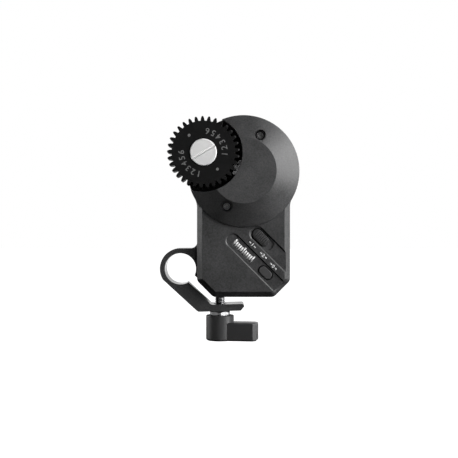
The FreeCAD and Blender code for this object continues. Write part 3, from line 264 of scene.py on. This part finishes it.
# %% A group with named sockets
def new_group(name, inputs, outputs):
    """An empty shader group, with the nodes that read its inputs and write its outputs."""
    group = bpy.data.node_groups.new(name, "ShaderNodeTree")
    for label, kind in inputs:
        group.interface.new_socket(label, in_out="INPUT", socket_type="NodeSocket" + kind)
    for label in outputs:
        group.interface.new_socket(label, in_out="OUTPUT", socket_type="NodeSocketFloat")
    return group, group.nodes.new("NodeGroupInput").outputs, group.nodes.new("NodeGroupOutput").inputs


def noise(tree, vector, scale, detail):
    """Soft random values between about 0.3 and 0.7."""
    feeds = {"Vector": vector, "Scale": scale, "Detail": detail, "Roughness": 0.6}
    return add(tree, "ShaderNodeTexNoise", feeds).outputs[0]


# %% Grain, patches, worn edges and turned rings
SPECK_RANGE = (0.3, 0.7)
CLOUD_RANGE = (0.36, 0.64)
FLAT_TO_EDGE = (0.99, 0.86)
BREAK_RANGE = (0.4, 0.62)
BREAK_SCALE = 700.0
FINE_DETAIL = 2.0
SOFT_DETAIL = 3.0
SCALED = [("Vector", "Vector"), ("Scale", "Float")]

grain_group, given, result = new_group("fine_grain", SCALED, ["Fleck", "Height"])
speck = noise(grain_group, given["Vector"], given["Scale"], FINE_DETAIL)
grain_group.links.new(remap(grain_group, speck, *SPECK_RANGE), result["Fleck"])
grain_group.links.new(speck, result["Height"])

patch_group, given, result = new_group("soft_patches", SCALED, ["Mask"])
cloud = noise(patch_group, given["Vector"], given["Scale"], SOFT_DETAIL)
patch_group.links.new(remap(patch_group, cloud, *CLOUD_RANGE), result["Mask"])

wear_inputs = [("Vector", "Vector"), ("Radius", "Float")]
wear_group, given, result = new_group("worn_edges", wear_inputs, ["Mask"])
rounded = add(wear_group, "ShaderNodeBevel", {"Radius": given["Radius"]}, samples=6)
true_side = add(wear_group, "ShaderNodeNewGeometry").outputs["Normal"]
both_sides = {0: rounded.outputs[0], 1: true_side}
match = add(wear_group, "ShaderNodeVectorMath", both_sides, operation="DOT_PRODUCT")
edge = remap(wear_group, match.outputs["Value"], *FLAT_TO_EDGE)
crumbs = noise(wear_group, given["Vector"], BREAK_SCALE, SOFT_DETAIL)
broken = remap(wear_group, crumbs, *BREAK_RANGE)
wear_group.links.new(calculate(wear_group, "MULTIPLY", edge, broken), result["Mask"])

ring_inputs = [("Vector", "Vector"), ("Pitch", "Float")]
ring_group, given, result = new_group("turned_rings", ring_inputs, ["Height"])
to_plane = {0: given["Vector"], 1: (1.0, 1.0, 0.0)}
across = add(ring_group, "ShaderNodeVectorMath", to_plane, operation="MULTIPLY").outputs[0]
length = add(ring_group, "ShaderNodeVectorMath", {0: across}, operation="LENGTH")
count = calculate(ring_group, "DIVIDE", length.outputs["Value"], given["Pitch"])
ring_feeds = {"W": count, "Scale": 1.0, "Detail": SOFT_DETAIL}
rings = add(ring_group, "ShaderNodeTexNoise", ring_feeds, noise_dimensions="1D")
ring_group.links.new(rings.outputs[0], result["Height"])
print("effects:", [group.name for group in bpy.data.node_groups])

# %% [markdown]
# ## One recipe for every finish
#
# Anodised aluminium, acetal, steel and solder mask differ in numbers, not in kind.
# The recipe mixes a dark and a light tone of one colour by grain and patches,
# rubs the edges towards a second colour, and lets the same grain raise a very low relief.
# A blasted face that is seen at a low angle mirrors like a smooth one, so the roughness falls there.
# A turned piece adds rings about its own axis, found from its box.

# %% Write the recipe
GRAIN_SHARE = 0.65
LOW_ANGLE_POWER = 6.0
WEAR_RADIUS = 0.25 * MM
WEAR_POLISH = -0.12
WEAR_LIGHTER = 1.6
RING_DEPTH = 2.0


def shade(colour, factor):
    """The colour made darker or lighter."""
    return tuple(min(1.0, part * factor) for part in colour) + (1.0,)


def lathe_view(tree, place, turned):
    """Coordinates with their Z along a turned piece's axis: turned is a node and Y or Z."""
    node, axis = turned
    low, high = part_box(node)
    tilt = math.radians(90) if axis == "Y" else 0.0
    feeds = {"Vector": place, "Location": (low + high) / 2, "Rotation": (tilt, 0.0, 0.0)}
    return add(tree, "ShaderNodeMapping", feeds, vector_type="TEXTURE").outputs[0]


def finish(name, colour, roughness, metallic=0.0, spread=0.15, grain=3500.0, relief=0.006,
           wear=0.3, worn=None, patch=90.0, rough_spread=0.04, turned=None, pitch=0.35,
           low_angle=0.0, shine=0.5):
    """A material for a surface of one stuff; lengths are in mm, grain and patch per metre."""
    material, tree = plain_material(name)
    place = add(tree, "ShaderNodeTexCoord").outputs["Object"]
    flecks = add(tree, "ShaderNodeGroup", node_tree=grain_group)
    patches = add(tree, "ShaderNodeGroup", node_tree=patch_group)
    rub = add(tree, "ShaderNodeGroup", node_tree=wear_group)
    for effect in (flecks, patches, rub):
        tree.links.new(place, effect.inputs["Vector"])
    flecks.inputs["Scale"].default_value = grain
    patches.inputs["Scale"].default_value = patch
    rub.inputs["Radius"].default_value = WEAR_RADIUS

    slow = calculate(tree, "MULTIPLY", patches.outputs["Mask"], 1 - GRAIN_SHARE)
    tone = calculate(tree, "MULTIPLY_ADD", flecks.outputs["Fleck"], GRAIN_SHARE, slow)
    ramp = add(tree, "ShaderNodeValToRGB", {"Fac": tone})
    ramp.color_ramp.elements[0].color = shade(colour, 1 - spread)
    ramp.color_ramp.elements[1].color = shade(colour, 1 + spread)
    rubbed = calculate(tree, "MULTIPLY", rub.outputs["Mask"], wear)
    bare = shade(worn or colour, 1.0 if worn else WEAR_LIGHTER)
    colours = add(tree, "ShaderNodeMix", {0: rubbed, 6: ramp.outputs[0], 7: bare}, data_type="RGBA")

    low, high = roughness - rough_spread, roughness + rough_spread
    dull = remap(tree, patches.outputs["Mask"], 0, 1, low, high)
    gloss = calculate(tree, "MULTIPLY_ADD", rubbed, WEAR_POLISH, dull)
    if low_angle:
        facing = add(tree, "ShaderNodeLayerWeight", {"Blend": 0.5}).outputs["Facing"]
        late = calculate(tree, "POWER", facing, LOW_ANGLE_POWER)
        gloss = calculate(tree, "MULTIPLY_ADD", late, -low_angle, gloss)
    height = flecks.outputs["Height"]
    if turned:
        circles = add(tree, "ShaderNodeGroup", node_tree=ring_group)
        circles.inputs["Pitch"].default_value = pitch * MM
        tree.links.new(lathe_view(tree, place, turned), circles.inputs["Vector"])
        height = calculate(tree, "MULTIPLY_ADD", circles.outputs["Height"], RING_DEPTH, height)
    bump = add(tree, "ShaderNodeBump", {"Height": height, "Distance": relief * MM})
    surface = add(tree, "ShaderNodeBsdfPrincipled", {
        "Base Color": colours.outputs[2], "Roughness": gloss, "Metallic": metallic,
        "Specular IOR Level": shine, "Normal": bump.outputs[0]})
    add(tree, "ShaderNodeOutputMaterial", {"Surface": surface.outputs[0]})
    return material


print("recipe ready")

# %% [markdown]
# ## The finishes
#
# The box, head and clamp are bead-blasted and anodised dark grey. The lever is smoother.
# The gear is black acetal, faced on a lathe. The cap over its screw is satin nickel.
# Steel inside is turned or ground, boards are green, and the ribbon to the motor is amber film.

# %% Mix the finishes of the outside
GREY = (0.0525, 0.0527, 0.0538)
HEAD_GREY = (0.067, 0.0672, 0.0684)
BARE = (0.16, 0.16, 0.165)
STEEL = (0.62, 0.62, 0.63)
outside = {
    "housing": finish("blasted_anodised", GREY, 0.42, spread=0.55, grain=1700.0, worn=BARE, wear=0.25,
                      low_angle=0.2),
    "clamp": finish("blasted_anodised_clamp", GREY, 0.43, spread=0.5, grain=1700.0, worn=BARE,
                    wear=0.3, patch=140.0, low_angle=0.36),
    "lever": finish("smooth_anodised", (0.047, 0.047, 0.048), 0.45, spread=0.15, worn=BARE, wear=0.3,
                    grain=3000.0, relief=0.003),
    "gear_plastic": finish("black_acetal", (0.004, 0.004, 0.0042), 0.5, spread=0.5, shine=0.22,
                           patch=260.0, relief=0.004, wear=0.15, worn=(0.03, 0.03, 0.032),
                           rough_spread=0.06, turned=("drive_gear", "Y"), pitch=0.5),
    "switch_plastic": finish("moulded_grey", (0.062, 0.062, 0.063), 0.5, spread=0.12, grain=6000.0,
                             wear=0.2),
    "bright_steel": finish("bright_steel", (0.5, 0.5, 0.51), 0.2, metallic=1.0, spread=0.04,
                           relief=0.001, wear=0.0, turned=("clamp_screw", "Z")),
    "dark_screw": finish("black_oxide", (0.03, 0.03, 0.031), 0.38, metallic=0.7, worn=BARE),
}

# %% Mix the finishes of single pieces and faces
head_metal = finish("blasted_anodised_head", HEAD_GREY, 0.42, spread=0.45, grain=1900.0, worn=BARE,
                    wear=0.25, low_angle=0.2)
cap_metal = finish("satin_nickel", (0.97, 0.97, 0.965), 0.72, metallic=0.3, spread=0.03, relief=0.002,
                   wear=0.1, worn=(0.95, 0.95, 0.94), turned=("gear_screw", "Y"), pitch=0.2)
pin_metal = finish("dull_pins", (0.35, 0.35, 0.35), 0.5, metallic=1.0, spread=0.1, wear=0.0)
# Painted shade: near black for the walls of the deep screw bores and the gap around the button.
painted_shade_black = finish("painted_shade_deep", (0.003, 0.003, 0.003), 0.6, spread=0.2, wear=0.0, shine=0.2)
# Painted shade: the sloping groove walls that face down are painted much darker than the box.
painted_shade_wall = finish("painted_shade_wall", (0.012, 0.012, 0.0123), 0.5, spread=0.3, grain=3000.0, worn=BARE,
                     wear=0.15, shine=0.15)
# The groove walls that face up and to the right get this lighter painted copy of the wall shade.
lit_wall = finish("lit_wall", (0.022, 0.022, 0.0225), 0.5, spread=0.3, grain=3000.0, worn=BARE,
                  wear=0.15)
# Painted shade: the seat behind the gear is painted near black.
painted_shade_seat = finish("painted_shade_seat", (0.003, 0.003, 0.003), 0.6, spread=0.2, wear=0.0, shine=0.2)
# Painted shade: the valleys between the slider's ribs are painted darker than the ribs.
painted_shade_valleys = finish("painted_shade_valleys", (0.036, 0.036, 0.037), 0.5, spread=0.12, grain=6000.0, wear=0.0)
# Painted shade: a black film that shows as a dark ring around the slider.
painted_shade_film = finish("painted_shade_film", (0.004, 0.004, 0.004), 0.6, spread=0.2, wear=0.0, shine=0.25)
# Painted light: the slider's bed is painted paler than the box so that it reads as lit.
painted_light_bed = finish("painted_light_bed", (0.075, 0.075, 0.077), 0.4, spread=0.15, grain=5000.0, wear=0.0)
socket_screw = finish("socket_screws", (0.5, 0.5, 0.505), 0.4, metallic=0.2, spread=0.06, wear=0.2)
collar_steel = finish("collar_steel", (0.36, 0.36, 0.365), 0.3, metallic=1.0, spread=0.05,
                      relief=0.001, wear=0.0, turned=("clamp_screw", "Z"))
# Painted highlight: the sockets and rims of the two deep screws are painted near white.
socket_highlight_paint = finish("painted_highlight_socket", (0.97, 0.97, 0.97), 0.7, spread=0.03, wear=0.0)
print("finishes so far:", len(bpy.data.materials))

# %% Mix the finishes of the inside
inside = {
    "bearing_steel": finish("ground_steel", STEEL, 0.25, metallic=1.0, spread=0.06, relief=0.001),
    "gearbox_steel": finish("satin_steel", (0.5, 0.5, 0.51), 0.38, metallic=1.0, spread=0.08,
                            turned=("motor_can", "Y")),
    "brass": finish("turned_brass", (0.78, 0.6, 0.3), 0.3, metallic=1.0, spread=0.06,
                    turned=("clamp_thread_insert", "Z"), pitch=0.3),
    "core_steel": finish("stacked_steel", (0.2, 0.2, 0.21), 0.5, metallic=0.8, spread=0.2,
                         grain=1600.0),
    "magnet": finish("nickel_plate", (0.55, 0.54, 0.52), 0.3, metallic=1.0, spread=0.05),
    "black_part": finish("black_moulding", (0.02, 0.02, 0.02), 0.5, spread=0.15, grain=6000.0),
    "circuit_board": finish("solder_mask", (0.012, 0.07, 0.03), 0.3, spread=0.25, patch=700.0,
                            relief=0.01),
    "shield_metal": finish("tinned_steel", (0.7, 0.7, 0.69), 0.32, metallic=1.0, spread=0.08,
                           patch=300.0),
    "flex_film": finish("amber_film", (0.5, 0.24, 0.05), 0.25, spread=0.12, patch=500.0),
}
finishes = {**outside, **inside}
print("all:", len(finishes), "slots have a finish")

# %% [markdown]
# ## Every node gets its finish
#
# The record says which material slot each node belongs to.
# The material goes on the object's own slots, because the frame's meshes must stay as they are.

# %% Assign materials to the frame
slot_of = {part["node"]: part["material_slot"] for part in frame["record"]["subparts"]}
bodies = frame["record"]["behaviour"]["bodies"]
body_of = {node: body for body, nodes in bodies.items() for node in nodes}
special = {"gear_screw": cap_metal, "gear_pins": pin_metal, "head_cover": head_metal,
           "head_cover_screws": socket_screw}


def finish_of(node):
    """The material for a node."""
    return special.get(node, finishes[slot_of[node]])


for node, body_part in frame["nodes"].items():
    for place in body_part.material_slots:
        place.link = "OBJECT"
        place.material = finish_of(node)
print("finished nodes:", len(frame["nodes"]))

# %% [markdown]
# ## Softer edges
#
# No machined edge is perfectly sharp: a tiny round catches a line of light.
# A CAD mesh is loose triangles, so a copy is merged first and its flat faces joined again.
# A Bevel modifier then rounds the edges. Where two edges lie close together, a round would fold
# their faces over, so only an edge with room beside it gets a weight.
# Weighted Normal keeps the large faces flat, and an edge without a weight stays sharp.

# %% Copy a node and soften it
MERGE = 0.001 * MM
FLAT = math.radians(0.5)
WIDTHS_OF_ROOM = 2.0


def merged_copy(node):
    """The node's mesh as one closed shape with whole faces."""
    shape = bmesh.new()
    shape.from_mesh(frame["nodes"][node].data)
    bmesh.ops.remove_doubles(shape, verts=shape.verts[:], dist=MERGE)
    bmesh.ops.dissolve_limit(shape, angle_limit=FLAT, verts=shape.verts[:], edges=shape.edges[:])
    return shape


def gap(corner, edge):
    """The distance from a corner to an edge."""
    start, end = (vert.co for vert in edge.verts)
    part = intersect_point_line(corner.co, start, end)[1]
    return (corner.co - start.lerp(end, min(1.0, max(0.0, part)))).length


def room_beside(edge):
    """How near the other edges of its faces come to an edge."""
    ends = set(edge.verts)
    nearest = math.inf
    for other in {other for face in edge.link_faces for other in face.edges} - {edge}:
        if ends & set(other.verts):
            nearest = min(nearest, other.calc_length())
        else:
            gaps = [gap(corner, other) for corner in ends]
            gaps += [gap(corner, edge) for corner in other.verts]
            nearest = min(nearest, *gaps)
    return nearest


def weigh_edges(shape, width, limit, measured=True):
    """Weighs the edges that turn by more than the limit; if measured, only those with room."""
    weights = shape.edges.layers.float.new("bevel_weight_edge")
    for edge in shape.edges:
        if edge.is_manifold and edge.calc_face_angle() > math.radians(limit):
            has_room = not measured or room_beside(edge) > WIDTHS_OF_ROOM * width * MM
            edge[weights] = float(has_room)
            edge.smooth = has_room


def piece_from(shape, name, material):
    """A visible piece made of the shape."""
    for face in shape.faces:
        face.smooth = True
    mesh = bpy.data.meshes.new(name)
    shape.to_mesh(mesh)
    shape.free()
    mesh.materials.append(material)
    made = bpy.data.objects.new(name, mesh)
    scene.collection.objects.link(made)
    return made


def round_edges(piece, width):
    """Rounds the weighted edges of a piece; the full width is in mm."""
    bevel = piece.modifiers.new("edge_round", "BEVEL")
    bevel.limit_method = "WEIGHT"
    bevel.width = width * MM
    bevel.segments = 2
    bevel.use_clamp_overlap = False
    piece.modifiers.new("flat_faces", "WEIGHTED_NORMAL").keep_sharp = True


print("edge helpers ready")

# %% [markdown]
# ## Faces with a look of their own
#
# A few faces look different from the rest of their piece, and most of these looks are painted light
# and shade. The bed that the slider runs on is painted pale, a painted light so that it reads as lit.
# The sloping walls of the grooves get a painted shade and are darker, most of all those that face
# down; those that face up and to the right get a lighter painted copy. The walls of the two deep
# screw bores, the gap around the button and the seat behind the gear are painted black, a painted
# shade where no light reaches. The sockets and rims of the screws are painted near white, a painted
# highlight.
# The valleys between the slider's ribs get a painted shade and are darker than the ribs, and the
# clamp screw's collar is duller than its thread.

# %% Find those faces
BODY_FACE = -12.0
GROOVE_FACE = -11.52
FRONT_FACE = BODY_FACE * MM
GROOVE_FLOOR = GROOVE_FACE * MM
SLIDER_FACE = -11.72 * MM
SLIDE_BED = -11.0 * MM
HEAD_SEAT = -10.0 * MM
BUTTON_MIDDLE = Vector((33.6, 0.0, -1.3)) * MM
BUTTON_REACH = 3.5 * MM
SOCKET_START = 0.3 * MM
HEAD_RADIUS = 1.38 * MM
BORE_REACH = 2.3 * MM
THREAD_REACH = 2.2 * MM
NEAR = 0.01 * MM

screws_low, screws_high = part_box("head_cover_screws")
clamp_screw_low, clamp_screw_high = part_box("clamp_screw")
screw_middles = [Vector((screws_low.x + HEAD_RADIUS, 0.0, screws_low.z + HEAD_RADIUS)),
                 Vector((screws_high.x - HEAD_RADIUS, 0.0, screws_high.z - HEAD_RADIUS))]


def faces_front_at(face, depth):
    """True for a flat face that looks forward from this depth."""
    return face.normal.y < -0.99 and abs(face.calc_center_median().y - depth) < NEAR


def on_slide_bed(face):
    """True for the floor of the slider's pocket."""
    return faces_front_at(face, SLIDE_BED)


def between_ribs(face):
    """True for the slider's face between its ribs."""
    return faces_front_at(face, SLIDER_FACE)


def on_head_seat(face):
    """True for the plane behind the gear."""
    return faces_front_at(face, HEAD_SEAT)


def in_screw_bore(face):
    """True for the walls around the head cover's screws."""
    middle = face.calc_center_median()
    middle.y = 0.0
    near_screw = any((middle - screw).length < BORE_REACH for screw in screw_middles)
    return abs(face.normal.y) < 0.5 and near_screw


def on_screw_highlight(face):
    """True for the floor of a screw's socket and the slope around its head, which get a painted
    highlight.
    """
    depth = face.calc_center_median().y - screws_low.y
    if face.normal.y < -0.9:
        return depth > SOCKET_START
    return -0.9 < face.normal.y < -0.4 and depth < SOCKET_START


def on_collar(face):
    """True for the hexagonal collar of the clamp screw."""
    middle = face.calc_center_median() - (clamp_screw_low + clamp_screw_high) / 2
    return middle.xy.length > THREAD_REACH


def in_button_gap(face):
    """True for the walls around the button."""
    middle = face.calc_center_median()
    deep = middle.y > GROOVE_FLOOR + NEAR
    middle.y = 0.0
    return deep and abs(face.normal.y) < 0.3 and (middle - BUTTON_MIDDLE).length < BUTTON_REACH


def on_groove_wall(face):
    """True for the sloping walls of the two grooves."""
    heights = [vert.co.y for vert in face.verts]
    spans = min(heights) < FRONT_FACE + NEAR and abs(max(heights) - GROOVE_FLOOR) < NEAR
    return spans and -0.8 < face.normal.y < -0.6


def on_lit_wall(face):
    """True for the straight groove walls that face up and to the right."""
    return on_groove_wall(face) and face.normal.x + face.normal.z > 0.9


print("screws span", round((screw_middles[1] - screw_middles[0]).length / MM, 1), "mm")

# %% [markdown]
# ## The softened pieces
#
# Each has the width of its rounds in mm and the angle in degrees from which an edge gets one.

# %% Soften the pieces of the outside
softened = {
    "front_housing": (0.08, 30), "head_cover": (0.1, 20),
    "drive_gear": (0.06, 30), "gear_screw": (0.04, 30), "clamp_lever": (0.08, 30),
    "clamp_screw": (0.03, 30), "mode_slider": (0.06, 30), "calibrate_button": (0.05, 30),
    "head_cover_screws": (0.05, 30), "rear_cover_screws": (0.05, 30),
}
# These have so many edges that the room beside each one isn't measured.
unmeasured = ("drive_gear", "clamp_screw", "clamp_lever", "head_cover_screws",
              "rear_cover_screws")
# Most of these looks are painted light and shade; the collar's is its own duller finish.
own_looks = {
    "front_housing": ((painted_light_bed, on_slide_bed), (painted_shade_wall, on_groove_wall),
                      (lit_wall, on_lit_wall), (painted_shade_black, in_button_gap),
                      (painted_shade_seat, on_head_seat)),
    "head_cover": ((painted_shade_black, in_screw_bore),),
    "head_cover_screws": ((socket_highlight_paint, on_screw_highlight),),
    "mode_slider": ((painted_shade_valleys, between_ribs),),
    "clamp_screw": ((collar_steel, on_collar),),
}
for node, (width, limit) in softened.items():
    shape = merged_copy(node)
    weigh_edges(shape, width, limit, measured=node not in unmeasured)
    looks = own_looks.get(node, ())
    for index, (look, has_look) in enumerate(looks):
        marked = [face for face in shape.faces if has_look(face)]
        for face in marked:
            face.material_index = index + 1
        print(node, "has", len(marked), "faces in", look.name)
    piece = piece_from(shape, node + "_soft", finish_of(node))
    for look, _ in looks:
        piece.data.materials.append(look)
    round_edges(piece, width)
    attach(piece, body_of[node])
    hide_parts(node)
print("softened:", len(softened), "pieces")

# %% [markdown]
# ## The slider's skirt
#
# A thin black sheet under the slider is a painted shade for the gap around the slider. It is a
# little wider than the slider, so it shows as a dark ring around it, and it moves with it.

# %% Cut the skirt
SLIDER_HALF = 1.98 * MM
SKIRT_HALF = 2.44 * MM
SKIRT_SHORTER = 0.3 * MM
SKIRT_FRONT = -11.04 * MM
SKIRT_THICK = 0.03 * MM
ARC_STEPS = 24

slider_low, slider_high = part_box("mode_slider")
lower_end = SLIDER_HALF + SKIRT_SHORTER
half_circles = ((slider_low.x + SLIDER_HALF, slider_high.z - SLIDER_HALF, 45),
                (slider_high.x - lower_end, slider_low.z + lower_end, 225))
skirt_shape = bmesh.new()
outline = []
for x, z, first in half_circles:
    for step in range(ARC_STEPS + 1):
        a = math.radians(first + 180 * step / ARC_STEPS)
        spot = (x + SKIRT_HALF * math.cos(a), SKIRT_FRONT, z + SKIRT_HALF * math.sin(a))
        outline.append(skirt_shape.verts.new(spot))
sheet_face = skirt_shape.faces.new(outline)
grown = bmesh.ops.extrude_face_region(skirt_shape, geom=[sheet_face])["geom"]
back = [part for part in grown if isinstance(part, bmesh.types.BMVert)]
bmesh.ops.translate(skirt_shape, verts=back, vec=(0.0, SKIRT_THICK, 0.0))
bmesh.ops.recalc_face_normals(skirt_shape, faces=skirt_shape.faces[:])
for edge in skirt_shape.edges:
    edge.smooth = False
skirt = piece_from(skirt_shape, "slider_shade_skirt", painted_shade_film)
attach(skirt, body_of["mode_slider"])
print("skirt:", len(outline), "corners")

# %% [markdown]
# ## The clamp is one piece
#
# The ring and its arm are one casting, and its thin left wall bends as the lever is turned.
# The frame has it as two solids that meet in that wall. One visible piece joins them there,
# without a seam.

# %% Join the clamp
WALL_RIGHT = -5 * MM
CLAMP_ROUND = 0.12
CLAMP_TURN = 30

clamp_shape = merged_copy("clamp_base")
lower = merged_copy("clamp_jaw")
carrier = bpy.data.meshes.new("clamp_lower")
lower.to_mesh(carrier)
lower.free()
clamp_shape.from_mesh(carrier)
bpy.data.meshes.remove(carrier)
inner = [face for face in clamp_shape.faces
         if all(abs(corner.co.z) < MERGE for corner in face.verts)
         and face.calc_center_median().x < WALL_RIGHT]
bmesh.ops.delete(clamp_shape, geom=inner, context="FACES")
bmesh.ops.remove_doubles(clamp_shape, verts=clamp_shape.verts[:], dist=MERGE)
open_edges = sum(not edge.is_manifold for edge in clamp_shape.edges)
weigh_edges(clamp_shape, CLAMP_ROUND, CLAMP_TURN)
clamp = piece_from(clamp_shape, "clamp_casting", finishes["clamp"])
round_edges(clamp, CLAMP_ROUND)
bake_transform(clamp)
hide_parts("clamp_base", "clamp_jaw")
print("clamp: removed", len(inner), "inner faces, open edges", open_edges)

# %% [markdown]
# ## Printed marks
#
# The gear carries two plain scales of six numbers: one is read from its rim, one from its middle.
# The box has a graduated scale in its lower groove and a number for each switch setting.
# All are thin layers of ink: text is made a mesh first, then laid on its face.

# %% Ink and lettering
INK_DEPTH = 0.02 * MM
CAPITAL_SHARE = 0.7
CURVE_STEPS = 5
grey_ink = finish("grey_ink", (0.2, 0.2, 0.2), 0.55, spread=0.25, patch=900.0, wear=0.0)
white_ink = finish("white_ink", (0.85, 0.85, 0.85), 0.5, spread=0.05, wear=0.0)


def on_front(x, y, z, turn):
    """Places a flat shape so that it faces the viewer, turned by an angle in degrees."""
    a = math.radians(turn)
    facing = Matrix(((math.cos(a), -math.sin(a), 0), (0, 0, -1), (math.sin(a), math.cos(a), 0)))
    return Matrix.Translation(Vector((x, y, z)) * MM) @ facing.to_4x4()


def print_text(shape, text, height, place, bold=0.03):
    """Adds a number to the shape, centred on its place; height and added stroke are in mm."""
    letters = bpy.data.curves.new("letters", "FONT")
    letters.body = text
    letters.size = height * MM / CAPITAL_SHARE
    letters.extrude = INK_DEPTH
    letters.offset = bold * MM
    letters.align_x, letters.align_y = "CENTER", "CENTER"
    letters.resolution_u = CURVE_STEPS
    holder = bpy.data.objects.new("letters", letters)
    scene.collection.objects.link(holder)
    solved = holder.evaluated_get(bpy.context.evaluated_depsgraph_get())
    mesh = bpy.data.meshes.new_from_object(solved)
    mesh.transform(place)
    shape.from_mesh(mesh)
    bpy.data.objects.remove(holder)
    bpy.data.curves.remove(letters)
    bpy.data.meshes.remove(mesh)


def print_bar(shape, width, height, place):
    """Adds a bar to the shape."""
    bar = bmesh.ops.create_cube(shape, size=1.0)["verts"]
    bmesh.ops.scale(shape, verts=bar, vec=(width * MM, height * MM, 2 * INK_DEPTH))
    bmesh.ops.transform(shape, verts=bar, matrix=place)


# %% Number the gear
gear_low, gear_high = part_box("drive_gear")
gear_x = (gear_low.x + gear_high.x) / 2 / MM
gear_z = (gear_low.z + gear_high.z) / 2 / MM
gear_face = gear_low.y / MM
MARK_CIRCLE = 8.4
MARK_HEIGHT = 2.3
NUMBERS = 6
# Each scale: the angle of its first number, the angle from one to the next, and how they are turned.
GEAR_SCALES = ((258.0, -15.6, -90), (-5.0, 16.8, 90))

gear_marks = bmesh.new()
for first, pitch, quarter in GEAR_SCALES:
    for step in range(NUMBERS):
        angle = first + pitch * step
        x = gear_x + MARK_CIRCLE * math.cos(math.radians(angle))
        z = gear_z + MARK_CIRCLE * math.sin(math.radians(angle))
        spot = on_front(x, gear_face, z, angle + quarter)
        print_text(gear_marks, str(step + 1), MARK_HEIGHT, spot)
gear_print = piece_from(gear_marks, "gear_numbers", grey_ink)
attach(gear_print, "output_gear")
print("gear numbers:", 2 * NUMBERS)

# %% Mark the box
DIAGONAL = math.sqrt(0.5)
GROOVE_TURN = -45
SETTINGS = (("1", 28.47, 9.65), ("2", 32.78, 5.42), ("0", 36.66, 1.19))
SETTING_HEIGHT = 1.3
SETTING_BOLD = 0.09
DASH_PLACE = 1.25
DASH_WIDTH = 0.95
DASH_HEIGHT = 0.55
BARS = 11
BAR_PITCH = 0.96
BAR_WIDTH = 0.68
BAR_TALL = 3.0
BAR_SHORT = 2.4
TALL_EVERY = 5
SCALE_X = 25.04
SCALE_Z = 7.32

box_marks = bmesh.new()
for text, x, z in SETTINGS:
    spot = on_front(x, BODY_FACE, z, GROOVE_TURN)
    print_text(box_marks, text, SETTING_HEIGHT, spot, bold=SETTING_BOLD)
    for side in (-DASH_PLACE, DASH_PLACE):
        shift = side * DIAGONAL
        spot = on_front(x + shift, BODY_FACE, z - shift, GROOVE_TURN)
        print_bar(box_marks, DASH_WIDTH, DASH_HEIGHT, spot)
for step in range(BARS):
    along = (step - (BARS - 1) / 2) * BAR_PITCH
    tall = BAR_TALL if step % TALL_EVERY == 0 else BAR_SHORT
    shift = (BAR_TALL - tall) / 2
    x = SCALE_X + (along - shift) * DIAGONAL
    z = SCALE_Z - (along + shift) * DIAGONAL
    print_bar(box_marks, BAR_WIDTH, tall, on_front(x, GROOVE_FACE, z, GROOVE_TURN))
box_print = piece_from(box_marks, "box_marks", white_ink)
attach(box_print, "housing")
print("box marks:", BARS, "bars and 3 numbers")
